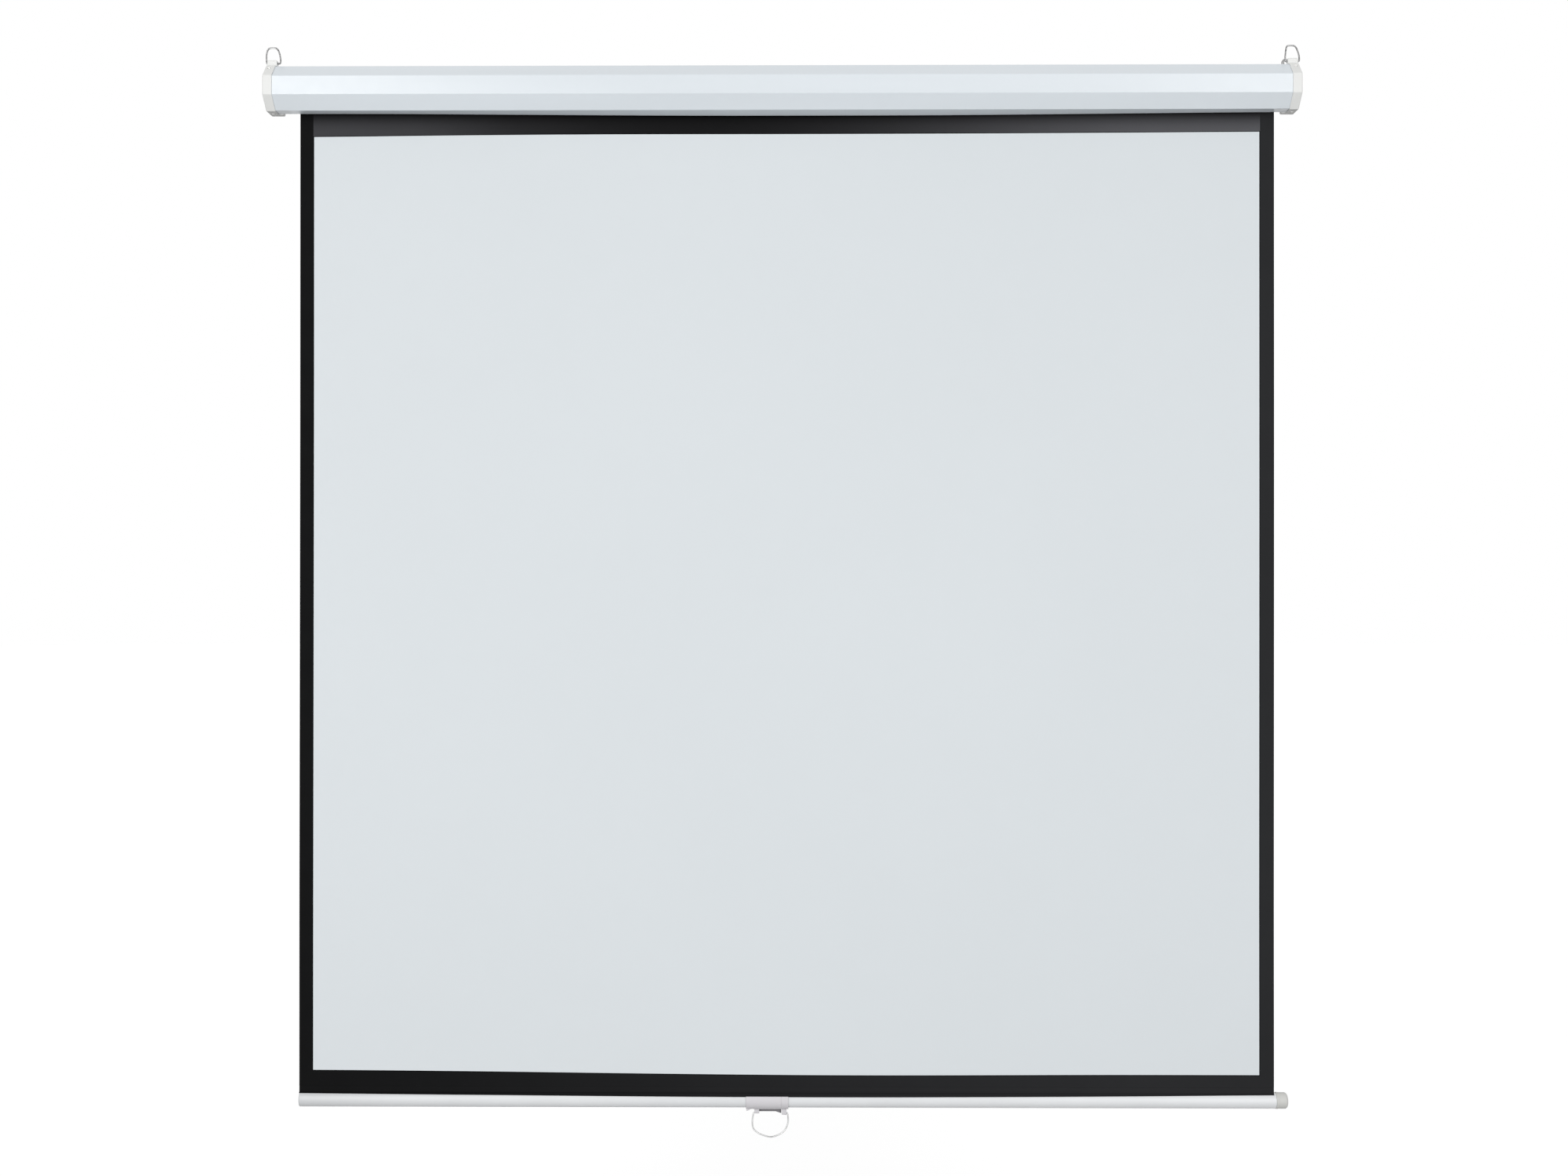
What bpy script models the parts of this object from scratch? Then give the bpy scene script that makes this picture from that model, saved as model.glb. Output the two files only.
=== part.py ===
"""Pull down projector screen.

An eight-sided housing with two end caps holds a spring roller. The sheet leaves the roller's rear side,
passes a slot in the housing's bottom and carries a round weight bar with a wire pull handle. The roller
turns on a fixed spindle: a ratchet wheel on the spindle and two pawls on the roller hold it at any
quarter turn, and a torsion spring winds the sheet up again. A wire ring on each cap hangs the housing.

Frame: X along the roller, +X to the right, front towards -Y, +Z up. The origin is the middle of the
housing's back face. Metres.
"""

import math

import bmesh
import bpy
from mathutils import Matrix, Vector

# Fits
FIT = 0.0003                   # gap between two pieces that seat in or run on each other

# Sheet
SHEET_WIDTH = 1.500
SHEET_THICK = 0.0006
SHEET_FROM_LEFT = 0.0343       # casing's left end to the sheet's left edge
SHEET_FROM_RIGHT = 0.0207      # sheet's right edge to the casing's right end
WRAP_THICK = 0.0005            # the turns left on the roller with the sheet down

# Casing, a folded steel sheet with eight sides and a slot
CASING_ACROSS = 0.068          # across the flats
CASING_WALL = 0.0012
CASING_BEND = 0.0016           # outer bend radius at the eight corners
SLOT_AHEAD = 0.0068            # slot's front lip ahead of the sheet
SLOT_WIDTH = 0.0125            # front lip to rear lip, along Y
LIP_HEIGHT = 0.0045            # how far the front lip is folded up inside
LIP_REAR = 0.0038              # how far the rear lip is folded in
LIP_BEND = 0.0012

# End caps
CAP_WALL = 0.0010              # rim around the casing
CAP_RIM = 0.0145               # rim along X, to the outer face
CAP_END = 0.0030               # end wall
CAP_GRIP = 0.0045              # length of casing inside the rim
CAP_EDGE = 0.0020              # rounding of the outer face's edge
COLLAR_WALL = 0.0020           # collar inside the casing
COLLAR_REACH = 0.0065          # how far the collar goes past the rim
SLOT_PLUG_INSET = 0.0002       # the slot's end block inside the cap's flats and the collar's end
BOSS_RADIUS = 0.0095
BOSS_LENGTH = 0.0080

# Ring lugs and rings
LUG_WIDTH = 0.0155
LUG_DEPTH = 0.0100
LUG_RISE = 0.0045              # above the ring's pivot
LUG_AHEAD = 0.0080             # lug's middle ahead of the housing's centre
LUG_INSET = 0.0008             # cap's outer face to the lug's outer face
LUG_EDGE = 0.0018              # rounding of the lug's corners and top
LUG_FLARE = 0.0034             # how far the lug's foot spreads in front and behind
LUG_FLARE_HIGH = 0.0030
RING_WIRE = 0.0024
RING_FOOT = 0.0204             # between wire centres, at the pivot
RING_BELLY = 0.0218
RING_BELLY_UP = 0.0090
RING_TOP = 0.0172
RING_HEIGHT = 0.0243           # pivot to the top wire's centre
RING_FOOT_BEND = 0.0022
RING_BELLY_BEND = 0.0140
RING_TOP_BEND = 0.0050
RING_PIVOT_RISE = 0.0042       # pivot above the cap's top face

# Cap screws
SCREW_HEAD = 0.0046
SCREW_SHANK = 0.0023
SCREW_LENGTH = 0.0028
SCREW_HEAD_HIGH = 0.0013
SCREW_SINK = 0.0016            # depth of the recess for the head
SCREW_INSET = 0.0065           # cap's outer face to the screw's axis
SCREW_UP_CHAMFER = 0.72        # place on the upper front chamfer, from its lower edge
SCREW_UNDER = 0.0340           # front face to the bottom screw

# Wall tab behind the right cap
TAB_THICK = 0.0015
TAB_WIDTH = 0.0134
TAB_STEM = 0.0086
TAB_INSET = 0.0003             # cap's outer face to the tab's edge
TAB_TOP = 0.0563               # above the housing's centre
TAB_FOOT = -0.0040
TAB_NECK = 0.0380              # where the stem widens
TAB_HOLE = 0.0048

# Roller
ROLLER_RADIUS = 0.0135
ROLLER_WALL = 0.0010
ROLLER_FORWARD = 0.0026        # roller's axis ahead of the housing's centre
ROLLER_PAST_LEFT = 0.0068      # tube past the sheet's left edge
ROLLER_PAST_RIGHT = 0.0072
FLANGE_THICK = 0.0017
FLANGE_RADIUS = 0.0140
PLUG_LENGTH = 0.0180

# Spindle, ratchet and spring
SPINDLE_RADIUS = 0.0040
SPINDLE_REACH = 0.4210         # round part inside the roller, from its left end
TANG_THICK = 0.0032
TANG_WIDE = 0.0070
TANG_LENGTH = 0.0220
TANG_INSET = 0.0015            # cap's outer face to the tang's end
TANG_ROOT = 0.0040             # tang's root inside the round part
RATCHET_RADIUS = 0.0070
RATCHET_FLOOR = 0.0054
RATCHET_THICK = 0.0044
RATCHET_NOTCHES = 4
RATCHET_RAMP = math.radians(28)
SPRING_WIRE = 0.0022
SPRING_TURNS = 24
SPRING_POINTS = 10             # points in a turn
SPRING_GAP = 0.0007            # spindle to the coil
SPRING_END = 0.0030            # spring's ends to the plug and to the bearing
BEARING_LENGTH = 0.0150
BEARING_PAST = 0.0040          # bearing past the spindle's end

# Pawls
PAWL_PIVOT = 0.0104            # roller's axis to a pawl's pivot
PAWL_BOSS = 0.0021
PAWL_THICK = 0.0038
PAWL_PIN = 0.0010              # pin radius
PAWL_HEAD = 0.0018
PAWL_HEAD_THICK = 0.0008
PAWL_INNER = 0.0082            # arm's inner edge, pawl engaged
PAWL_OUTER = 0.0103            # arm's outer edge at the hook
PAWL_HOOK = 0.0018             # hook's width
PAWL_HOOK_AT = math.radians(55)
PAWL_LIFT = math.radians(15)   # from engaged to the resting, lifted place

# Idle end
GUDGEON_RADIUS = 0.0040
BUSHING_WALL = 0.0022

# Weight bar
BAR_DROP = 1.5523              # bar's axis below the roller's, sheet down
BAR_BEHIND = 0.0055            # bar's axis behind the sheet
BAR_RADIUS = 0.0122
BAR_WALL = 0.0012
BAR_PAST_LEFT = 0.0008         # plug's face past the sheet's left edge
BAR_PAST_RIGHT = 0.0030        # tube's end past the sheet's right edge
BAR_PLUG_HEAD = 0.0015
BAR_PLUG_DEEP = 0.0120
BAR_CAP_RADIUS = 0.01225
BAR_CAP_LIP = 0.0126
BAR_CAP_LIP_LONG = 0.0034
BAR_CAP_LONG = 0.0190
BAR_CAP_ROUND = 0.0042
BAR_CAP_DEEP = 0.0150
HEM_RISE = 0.0085              # rigid hem above the bar's top
HEM_END = math.radians(31)     # where the hem stops on the bar's front, above level

# Handle clip and bail
CLIP_LEFT = -0.0546
CLIP_RIGHT = 0.0106
CLIP_SEAM = 0.0000             # left edge of the clip's jaw
CLIP_WALL = 0.0020
CLIP_FRONT = math.radians(28)  # clip's front edge above level
CLIP_BACK = math.radians(196)  # clip's arc from level front, under the bar, to its back edge
BAIL_WIRE = 0.0024
BAIL_CENTRE = -0.0171
BAIL_WIDTH = 0.0530            # between the legs' centres
BAIL_DROP = 0.0375             # pivot to the lowest wire centre
BAIL_UNDER = 0.0206            # pivot below the bar's axis
BAIL_TAIL = 0.0070             # bent end inside the ear
EAR_LONG = 0.0075
EAR_DEEP = 0.0066
EAR_GAP = 0.0005               # between the ear's side and the bail's leg

# Places that follow from the sizes
CASING_HALF = (SHEET_WIDTH + SHEET_FROM_LEFT + SHEET_FROM_RIGHT) / 2
SHEET_LEFT = -CASING_HALF + SHEET_FROM_LEFT
SHEET_RIGHT = CASING_HALF - SHEET_FROM_RIGHT
CENTRE_Y = -CASING_ACROSS / 2
ROLLER_Y = CENTRE_Y - ROLLER_FORWARD
WRAP_RADIUS = ROLLER_RADIUS + FIT + WRAP_THICK
SHEET_Y = ROLLER_Y + WRAP_RADIUS + FIT + SHEET_THICK / 2
LIP_Y = SHEET_Y - SLOT_AHEAD
TUBE_LEFT = SHEET_LEFT - ROLLER_PAST_LEFT
TUBE_RIGHT = SHEET_RIGHT + ROLLER_PAST_RIGHT
CAP_FACE = CASING_HALF - CAP_GRIP + CAP_RIM
CAP_APOTHEM = CASING_ACROSS / 2 + FIT + CAP_WALL
RATCHET_X = TUBE_LEFT - FIT - FLANGE_THICK - FIT
SPINDLE_END = TUBE_LEFT + SPINDLE_REACH
BAR_Y = SHEET_Y + BAR_BEHIND
BAR_Z = -BAR_DROP
HEM_TOP = BAR_Z + BAR_RADIUS + HEM_RISE
LUG_CENTRE = CAP_FACE - LUG_INSET - LUG_WIDTH / 2
PIVOT_Y = CENTRE_Y - LUG_AHEAD
PIVOT_Z = CAP_APOTHEM + RING_PIVOT_RISE
OCTANT = math.radians(22.5)

ALONG_X = (0, math.pi / 2, 0)            # a turned piece's axis laid along X
FLAT_IN_YZ = (math.pi / 2, 0, math.pi / 2)  # a flat outline standing across X
FLAT_IN_XZ = (math.pi / 2, 0, 0)         # a flat outline facing the front

for old in list(bpy.data.objects):
    bpy.data.objects.remove(old, do_unlink=True)

PARTS = bpy.data.collections.new("projector_screen")
CUTTERS = bpy.data.collections.new("cutters")
bpy.context.scene.collection.children.link(PARTS)
bpy.context.scene.collection.children.link(CUTTERS)


# Helpers: materials, bodies and the modelling tools used more than once

def finish(obj, colour, roughness, metallic=0.0):
    """Give an object its own Principled material."""
    mat = bpy.data.materials.new(obj.name)
    mat.use_nodes = True
    shader = mat.node_tree.nodes["Principled BSDF"]
    shader.inputs["Base Color"].default_value = (*colour, 1.0)
    shader.inputs["Roughness"].default_value = roughness
    shader.inputs["Metallic"].default_value = metallic
    obj.data.materials.append(mat)
    return obj


def body(name, place):
    """An empty on a body's joint axis, which its pieces hang from."""
    empty = bpy.data.objects.new(name, None)
    empty.location = place
    empty.empty_display_size = 0.02
    PARTS.objects.link(empty)
    return empty


def place(obj, parent, where, turn=(0, 0, 0)):
    """Link an object to its body, or to the cutters, with its world place and turn."""
    if parent is None:
        CUTTERS.objects.link(obj)
        obj.hide_render = True
        obj.display_type = "WIRE"
        obj.location = where
    else:
        PARTS.objects.link(obj)
        obj.parent = parent
        obj.location = Vector(where) - parent.location
    obj.rotation_euler = turn
    return obj


def mesh_object(name, bm):
    """A new object from a bmesh."""
    mesh = bpy.data.meshes.new(name)
    bm.to_mesh(mesh)
    bm.free()
    return bpy.data.objects.new(name, mesh)


def smooth(obj, angle=30):
    """Smooth shading with sharp edges kept."""
    obj.data.shade_smooth()
    obj.data.set_sharp_from_angle(angle=math.radians(angle))
    return obj


def box(name, size):
    """A cube primitive of a given size."""
    bm = bmesh.new()
    bmesh.ops.create_cube(bm, size=1.0, matrix=Matrix.Diagonal((*size, 1.0)))
    return mesh_object(name, bm)


def prism(name, outline, length):
    """A (y, z) outline given a length along X, centred on X."""
    bm = bmesh.new()
    ends = [[bm.verts.new((x, y, z)) for y, z in outline] for x in (-length / 2, length / 2)]
    return stacked(name, bm, ends)


def stacked(name, bm, rings):
    """Rings of as many points each, joined in order and closed at both ends."""
    for low, high in zip(rings, rings[1:]):
        for i, vert in enumerate(low):
            j = (i + 1) % len(low)
            bm.faces.new((vert, low[j], high[j], high[i]))
    bm.faces.new(rings[0])
    bm.faces.new(rings[-1])
    bmesh.ops.recalc_face_normals(bm, faces=bm.faces)
    return mesh_object(name, bm)


def rod(name, radius, length, sides=24):
    """A closed cylinder along its own Z."""
    bm = bmesh.new()
    bmesh.ops.create_cone(bm, cap_ends=True, segments=sides, radius1=radius, radius2=radius, depth=length)
    return smooth(mesh_object(name, bm))


def turned(name, profile, steps=32, loop=False, phase=0.0):
    """A Screw of (radius, z) points, which run down the outer side from top to bottom."""
    bm = bmesh.new()
    points = [bm.verts.new((r * math.cos(phase), r * math.sin(phase), z)) for r, z in profile]
    for a, b in zip(points, points[1:] + (points[:1] if loop else [])):
        bm.edges.new((a, b))
    obj = mesh_object(name, bm)
    screw = obj.modifiers.new("Turn", "SCREW")
    screw.angle = 2 * math.pi
    screw.steps = screw.render_steps = steps
    screw.use_merge_vertices = True
    screw.merge_threshold = 0.00001
    screw.use_smooth_shade = steps > 8
    return obj


def sheet(name, profile, left, right, wall, inward=-1.0):
    """A (y, z) line extruded along X and given a wall with Solidify."""
    bm = bmesh.new()
    points = [bm.verts.new((left, y, z)) for y, z in profile]
    edges = [bm.edges.new(pair) for pair in zip(points, points[1:])]
    grown = bmesh.ops.extrude_edge_only(bm, edges=edges)["geom"]
    moved = [item for item in grown if isinstance(item, bmesh.types.BMVert)]
    bmesh.ops.translate(bm, verts=moved, vec=(right - left, 0, 0))
    obj = mesh_object(name, bm)
    solid = obj.modifiers.new("Wall", "SOLIDIFY")
    solid.thickness = wall
    solid.offset = inward
    solid.use_even_offset = True
    return obj


def wire(name, points, radius, loop=False, resolution=2):
    """A round wire along points, as a curve with a bevel and filled caps."""
    curve = bpy.data.curves.new(name, "CURVE")
    curve.dimensions = "3D"
    curve.bevel_depth = radius
    curve.bevel_resolution = resolution
    curve.use_fill_caps = True
    spline = curve.splines.new("POLY")
    spline.points.add(len(points) - 1)
    for point, where in zip(spline.points, points):
        point.co = (*where, 1.0)
    spline.use_cyclic_u = loop
    return bpy.data.objects.new(name, curve)


def plate(name, outlines, thick):
    """A flat outline, with any holes, as a filled 2D curve."""
    curve = bpy.data.curves.new(name, "CURVE")
    curve.dimensions = "2D"
    curve.fill_mode = "BOTH"
    curve.extrude = thick / 2
    for outline in outlines:
        spline = curve.splines.new("POLY")
        spline.points.add(len(outline) - 1)
        for point, (u, v) in zip(spline.points, outline):
            point.co = (u, v, 0.0, 1.0)
        spline.use_cyclic_u = True
    return bpy.data.objects.new(name, curve)


def boolean(target, tool, operation="DIFFERENCE"):
    """Cut or join one object with a cutter."""
    cut = target.modifiers.new(tool.name, "BOOLEAN")
    cut.operation = operation
    cut.object = tool
    return target


def rounded(points, radii, segments=3):
    """A flat line with its inner corners rounded by arcs; radii is one radius or one for each corner."""
    line = [Vector(p) for p in points]
    if not isinstance(radii, (list, tuple)):
        radii = [radii] * (len(line) - 2)
    out = [tuple(line[0])]
    for before, corner, after, radius in zip(line, line[1:], line[2:], radii):
        one, two = (before - corner).normalized(), (after - corner).normalized()
        half = one.angle(two) / 2
        reach = radius / math.tan(half)
        centre = corner + (one + two).normalized() * (radius / math.sin(half))
        start, end = corner + one * reach - centre, corner + two * reach - centre
        for i in range(segments + 1):
            step = start.lerp(end, i / segments).normalized() * radius
            out.append(tuple(centre + step))
    out.append(tuple(line[-1]))
    return out


def circle(radius, count, at=(0.0, 0.0)):
    """Points on a circle."""
    turn = [2 * math.pi * i / count for i in range(count)]
    return [(at[0] + radius * math.cos(a), at[1] + radius * math.sin(a)) for a in turn]


# Bodies

housing = body("housing", (0, 0, 0))
roller = body("roller", (0, ROLLER_Y, 0))
bar = body("weight_bar", (0, BAR_Y, BAR_Z))
bail_axis = body("bail_axis", (BAIL_CENTRE, BAR_Y, BAR_Z - BAIL_UNDER))
ring_axes = {"l": body("ring_axis_l", (-LUG_CENTRE, PIVOT_Y, PIVOT_Z)),
             "r": body("ring_axis_r", (LUG_CENTRE, PIVOT_Y, PIVOT_Z))}
pawl_axes = {"a": body("pawl_axis_a", (0, ROLLER_Y, PAWL_PIVOT)),
             "b": body("pawl_axis_b", (0, ROLLER_Y, -PAWL_PIVOT))}


# Casing: eight flats, folded from one sheet, with both slot lips turned in

def casing_line():
    """The casing's outer line from the front lip round to the rear lip."""
    half = CASING_ACROSS / 2
    flat = half * math.tan(OCTANT)
    rear_y = LIP_Y + SLOT_WIDTH
    rear_z = -half + (rear_y - (CENTRE_Y + flat))
    fold = LIP_REAR / math.sqrt(2)
    corners = [(-flat, -half), (-half, -flat), (-half, flat), (-flat, half), (flat, half), (half, flat),
               (half, -flat)]
    line = [(LIP_Y, -half + LIP_HEIGHT), (LIP_Y, -half)]
    line += [(CENTRE_Y + y, z) for y, z in corners]
    line += [(rear_y, rear_z), (rear_y - fold, rear_z + fold)]
    return line


def casing_rounded():
    """The same line with bend radii."""
    line = casing_line()
    front = rounded(line[:3], LIP_BEND, 2)
    middle = rounded(line[1:-1], CASING_BEND, 3)
    rear = rounded(line[-3:], LIP_BEND, 2)
    return front[:-1] + middle[1:-1] + rear[1:]


casing = place(sheet("casing", casing_rounded(), -CASING_HALF, CASING_HALF, CASING_WALL), housing, (0, 0, 0))
finish(casing, (0.86, 0.89, 0.92), 0.32)

# The folded lips stop short of the collars on the end caps
COLLAR_INNER_END = CAP_FACE - CAP_RIM - COLLAR_REACH
relief_long = CASING_HALF - COLLAR_INNER_END + FIT + 0.01
relief_deep = SLOT_WIDTH + 2 * CASING_WALL + 2 * LIP_BEND + 0.004
relief_y = LIP_Y + SLOT_WIDTH / 2 - 0.002
relief_z = -CASING_ACROSS / 2 + CASING_WALL + 0.010
for key, side in (("l", -1), ("r", 1)):
    relief = box("relief_" + key, (relief_long, relief_deep, 0.020))
    place(relief, None, (side * (COLLAR_INNER_END - FIT + relief_long / 2), relief_y, relief_z))
    boolean(casing, relief)


# End caps: an eight-step turn gives rim, groove, collar and end wall in one profile

def cap_profile():
    """The cap's (apothem, depth) line; depth runs from the collar's end to the outer face."""
    outer = CAP_APOTHEM
    groove_out = CASING_ACROSS / 2 + FIT
    groove_in = CASING_ACROSS / 2 - CASING_WALL - FIT
    inner = groove_in - COLLAR_WALL
    face = COLLAR_REACH + CAP_RIM
    floor = COLLAR_REACH + CAP_GRIP + FIT
    rim = COLLAR_REACH
    edge = [(outer - CAP_EDGE * (1 - math.sin(a)), face - CAP_EDGE * (1 - math.cos(a)))
            for a in [math.pi / 2 * k / 3 for k in range(4)]]
    return [(0, face)] + edge + [(outer, rim), (groove_out, rim), (groove_out, floor), (groove_in, floor),
                                 (groove_in, 0), (inner, 0), (inner, face - CAP_END), (0, face - CAP_END)]


def lug_ring(bm, half_x, front, rear, z):
    """A level ring round the lug, its corners rounded; front and rear are its reach ahead and behind."""
    corners = ((1, 1), (-1, 1), (-1, -1), (1, -1))
    turns = [(k, math.pi / 2 * (k + s / 3)) for k in range(4) for s in range(4)]
    radius = min(LUG_EDGE, half_x, (front + rear) / 2)
    reach = {1: rear - radius, -1: radius - front}
    return [bm.verts.new((corners[k][0] * (half_x - radius) + radius * math.cos(a),
                          reach[corners[k][1]] + radius * math.sin(a), z)) for k, a in turns]


def lug_solid(name):
    """The lug above the cap: a foot that flares on the cap's top flat, straight sides and a rounded top."""
    bm = bmesh.new()
    half_x, half_y = LUG_WIDTH / 2, LUG_DEPTH / 2
    top = PIVOT_Z + LUG_RISE
    room = max(0.0, CAP_APOTHEM * math.tan(OCTANT) - LUG_AHEAD - half_y - FIT)
    front, rear = min(LUG_FLARE, room), LUG_FLARE
    rings = [lug_ring(bm, half_x, half_y + front, half_y + rear, CAP_APOTHEM - CAP_WALL + FIT)]
    foot = CAP_APOTHEM - 0.0001
    for a in [math.pi / 2 * k / 4 for k in range(5)]:
        spread, high = 1 - math.sin(a), LUG_FLARE_HIGH * (1 - math.cos(a))
        rings.append(lug_ring(bm, half_x, half_y + front * spread, half_y + rear * spread, foot + high))
    for a in [math.pi / 2 * k / 3 for k in range(4)]:
        inset = LUG_EDGE * (1 - math.cos(a)) * 0.9
        side = half_y - inset
        rings.append(lug_ring(bm, half_x - inset, side, side, top - LUG_EDGE * (1 - math.sin(a))))
    return stacked(name, bm, rings)


def slot_plug_outline():
    """The block that fills the casing's slot at a cap: it follows the cap's outer flats and the collar."""
    front, rear = LIP_Y + FIT, LIP_Y + SLOT_WIDTH - FIT
    out = CAP_APOTHEM - SLOT_PLUG_INSET
    mid = CASING_ACROSS / 2 - CASING_WALL - FIT - COLLAR_WALL / 2
    out_corner, in_corner = [CENTRE_Y + a * math.tan(OCTANT) for a in (out, mid)]
    return [(front, -mid), (front, -out), (out_corner, -out), (rear, -out + rear - out_corner),
            (rear, -mid + rear - in_corner), (in_corner, -mid)]


def chamfer_point(share):
    """A point on the cap's upper front chamfer and the turn of a screw standing on it."""
    flat = CAP_APOTHEM * math.tan(OCTANT)
    low, high = Vector((-CAP_APOTHEM, flat)), Vector((-flat, CAP_APOTHEM))
    spot = low.lerp(high, share)
    return spot.x + CENTRE_Y, spot.y


caps = {}
for key, side in (("l", -1), ("r", 1)):
    profile = [(a / math.cos(OCTANT), z) for a, z in cap_profile()]
    cap = turned("end_cap_" + key, profile, steps=8, phase=OCTANT)
    turn = (0, side * math.pi / 2, 0)
    place(cap, housing, (side * COLLAR_INNER_END, CENTRE_Y, 0), turn)
    finish(cap, (0.90, 0.90, 0.88), 0.42)
    caps[key] = cap

    # Lug: it carries the ring's straight side
    lug = place(lug_solid("lug_" + key), None, (side * LUG_CENTRE, PIVOT_Y, 0))
    boolean(cap, lug, "UNION")

    # Block in the slot's end
    plug_start, plug_stop = COLLAR_INNER_END + SLOT_PLUG_INSET, CAP_FACE - CAP_END / 2
    slot_plug = prism("slot_plug_" + key, slot_plug_outline(), plug_stop - plug_start)
    place(slot_plug, None, (side * (plug_start + plug_stop) / 2, 0, 0))
    boolean(cap, slot_plug, "UNION")

    # Bearing boss inside the end wall
    boss = rod("boss_" + key, BOSS_RADIUS, BOSS_LENGTH + CAP_END / 2, 32)
    boss_x = CAP_FACE - CAP_END - BOSS_LENGTH + (BOSS_LENGTH + CAP_END / 2) / 2
    place(boss, None, (side * boss_x, ROLLER_Y, 0), ALONG_X)
    boolean(cap, boss, "UNION")

    bore = rod("ring_bore_" + key, RING_WIRE / 2 + FIT, LUG_WIDTH + 0.01, 16)
    place(bore, None, (side * LUG_CENTRE, PIVOT_Y, PIVOT_Z), ALONG_X)
    boolean(cap, bore)

    # The cap's back is cut flush with the casing's, so that the housing lies flat on the wall
    wall = box("wall_cut_" + key, (0.060, 0.020, 0.120))
    place(wall, None, (side * (CAP_FACE - 0.020), 0.010, 0))
    boolean(cap, wall)

# The left cap holds the spindle's flat tang, the right cap a bushing for the idle pin
tang_slot = box("tang_slot", (0.05, TANG_THICK + 2 * FIT, TANG_WIDE + 2 * FIT))
place(tang_slot, None, (-CAP_FACE, ROLLER_Y, 0))
boolean(caps["l"], tang_slot)
bushing_seat = rod("bushing_seat", GUDGEON_RADIUS + BUSHING_WALL + 2 * FIT, 0.05, 32)
place(bushing_seat, None, (CAP_FACE, ROLLER_Y, 0), ALONG_X)
boolean(caps["r"], bushing_seat)

bushing_ring = [(GUDGEON_RADIUS + BUSHING_WALL + FIT, BOSS_LENGTH + CAP_END - FIT),
                (GUDGEON_RADIUS + BUSHING_WALL + FIT, 0), (GUDGEON_RADIUS + FIT, 0),
                (GUDGEON_RADIUS + FIT, BOSS_LENGTH + CAP_END - FIT)]
bushing = turned("idle_bushing", bushing_ring, 32, loop=True)
place(bushing, housing, (CAP_FACE - CAP_END - BOSS_LENGTH, ROLLER_Y, 0), ALONG_X)
finish(bushing, (0.80, 0.79, 0.74), 0.5)

# Screws: one on each cap's upper front chamfer and one under it
screw_line = [(0, SCREW_HEAD_HIGH), (SCREW_HEAD / 2 * 0.7, SCREW_HEAD_HIGH), (SCREW_HEAD / 2, SCREW_HEAD_HIGH * 0.45),
              (SCREW_HEAD / 2, 0), (SCREW_SHANK / 2, 0), (SCREW_SHANK / 2, -SCREW_LENGTH), (0, -SCREW_LENGTH)]
top_y, top_z = chamfer_point(SCREW_UP_CHAMFER)
under_y = -CASING_ACROSS + SCREW_UNDER
for key, side in (("l", -1), ("r", 1)):
    for spot, (y, z), tilt in (("top", (top_y, top_z), math.pi / 4), ("under", (under_y, -CAP_APOTHEM), math.pi)):
        out = Vector((0, -math.sin(tilt), math.cos(tilt)))
        skin = Vector((side * (CAP_FACE - SCREW_INSET), y, z))
        seat = skin - out * SCREW_SINK
        pocket = [(0, 0.004), (SCREW_HEAD / 2 + FIT, 0.004), (SCREW_HEAD / 2 + FIT, 0), (SCREW_SHANK / 2 + FIT, 0),
                  (SCREW_SHANK / 2 + FIT, -0.012), (0, -0.012)]
        hole = place(turned(f"hole_{spot}_{key}", pocket, 16), None, seat, (tilt, 0, 0))
        boolean(caps[key], hole)
        screw = turned(f"screw_{spot}_{key}", screw_line, 16)
        place(screw, housing, seat + out * FIT, (tilt, 0, 0))
        finish(screw, (0.62, 0.62, 0.60), 0.35, 1.0)

# Wall tab: a stamped plate whose stem lies in the right cap's back, flush with the wall side
tab_right = CAP_FACE - TAB_INSET
head = TAB_WIDTH / 2
tab_head_z = TAB_TOP - head
tab_outline = [(tab_right - TAB_STEM, TAB_FOOT), (tab_right, TAB_FOOT)]
tab_outline += [(tab_right - head + head * math.cos(a), tab_head_z + head * math.sin(a))
                for a in [math.pi * i / 16 for i in range(17)]]
tab_outline += [(tab_right - TAB_WIDTH, TAB_NECK + TAB_WIDTH - TAB_STEM), (tab_right - TAB_STEM, TAB_NECK)]
tab_hole = circle(TAB_HOLE / 2, 20, (tab_right - head, tab_head_z))
wall_tab = plate("wall_tab", [tab_outline, tab_hole], TAB_THICK)
place(wall_tab, housing, (0, -TAB_THICK / 2, 0), FLAT_IN_XZ)
finish(wall_tab, (0.42, 0.42, 0.42), 0.38, 1.0)
seat_left, seat_low = tab_right - TAB_STEM - FIT, TAB_FOOT - FIT
tab_seat = box("tab_seat", (TAB_STEM + 0.004, 0.006, 0.080))
place(tab_seat, None, (seat_left + (TAB_STEM + 0.004) / 2, 0.003 - TAB_THICK - FIT, seat_low + 0.040))
boolean(caps["r"], tab_seat)


# Spindle: a fixed rod with a flat tang, the ratchet wheel on it and the spring around it

round_left = -CAP_FACE + TANG_LENGTH
tang_left = -CAP_FACE + TANG_INSET
tang_right = round_left + TANG_ROOT
spindle = rod("spindle", SPINDLE_RADIUS, SPINDLE_END - round_left)
place(spindle, housing, ((SPINDLE_END + round_left) / 2, ROLLER_Y, 0), ALONG_X)
tang = box("tang", (tang_right - tang_left, TANG_THICK, TANG_WIDE))
place(tang, None, ((tang_left + tang_right) / 2, ROLLER_Y, 0))
boolean(spindle, tang, "UNION")
finish(spindle, (0.55, 0.55, 0.55), 0.35, 1.0)

HOOK_SIDE = PAWL_HOOK / 2 + FIT
HOOK_ANGLE = math.pi / 2 + PAWL_HOOK_AT


def polar(radius, angle):
    """A (y, z) point about the roller's axis."""
    return (radius * math.cos(angle), radius * math.sin(angle))


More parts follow.
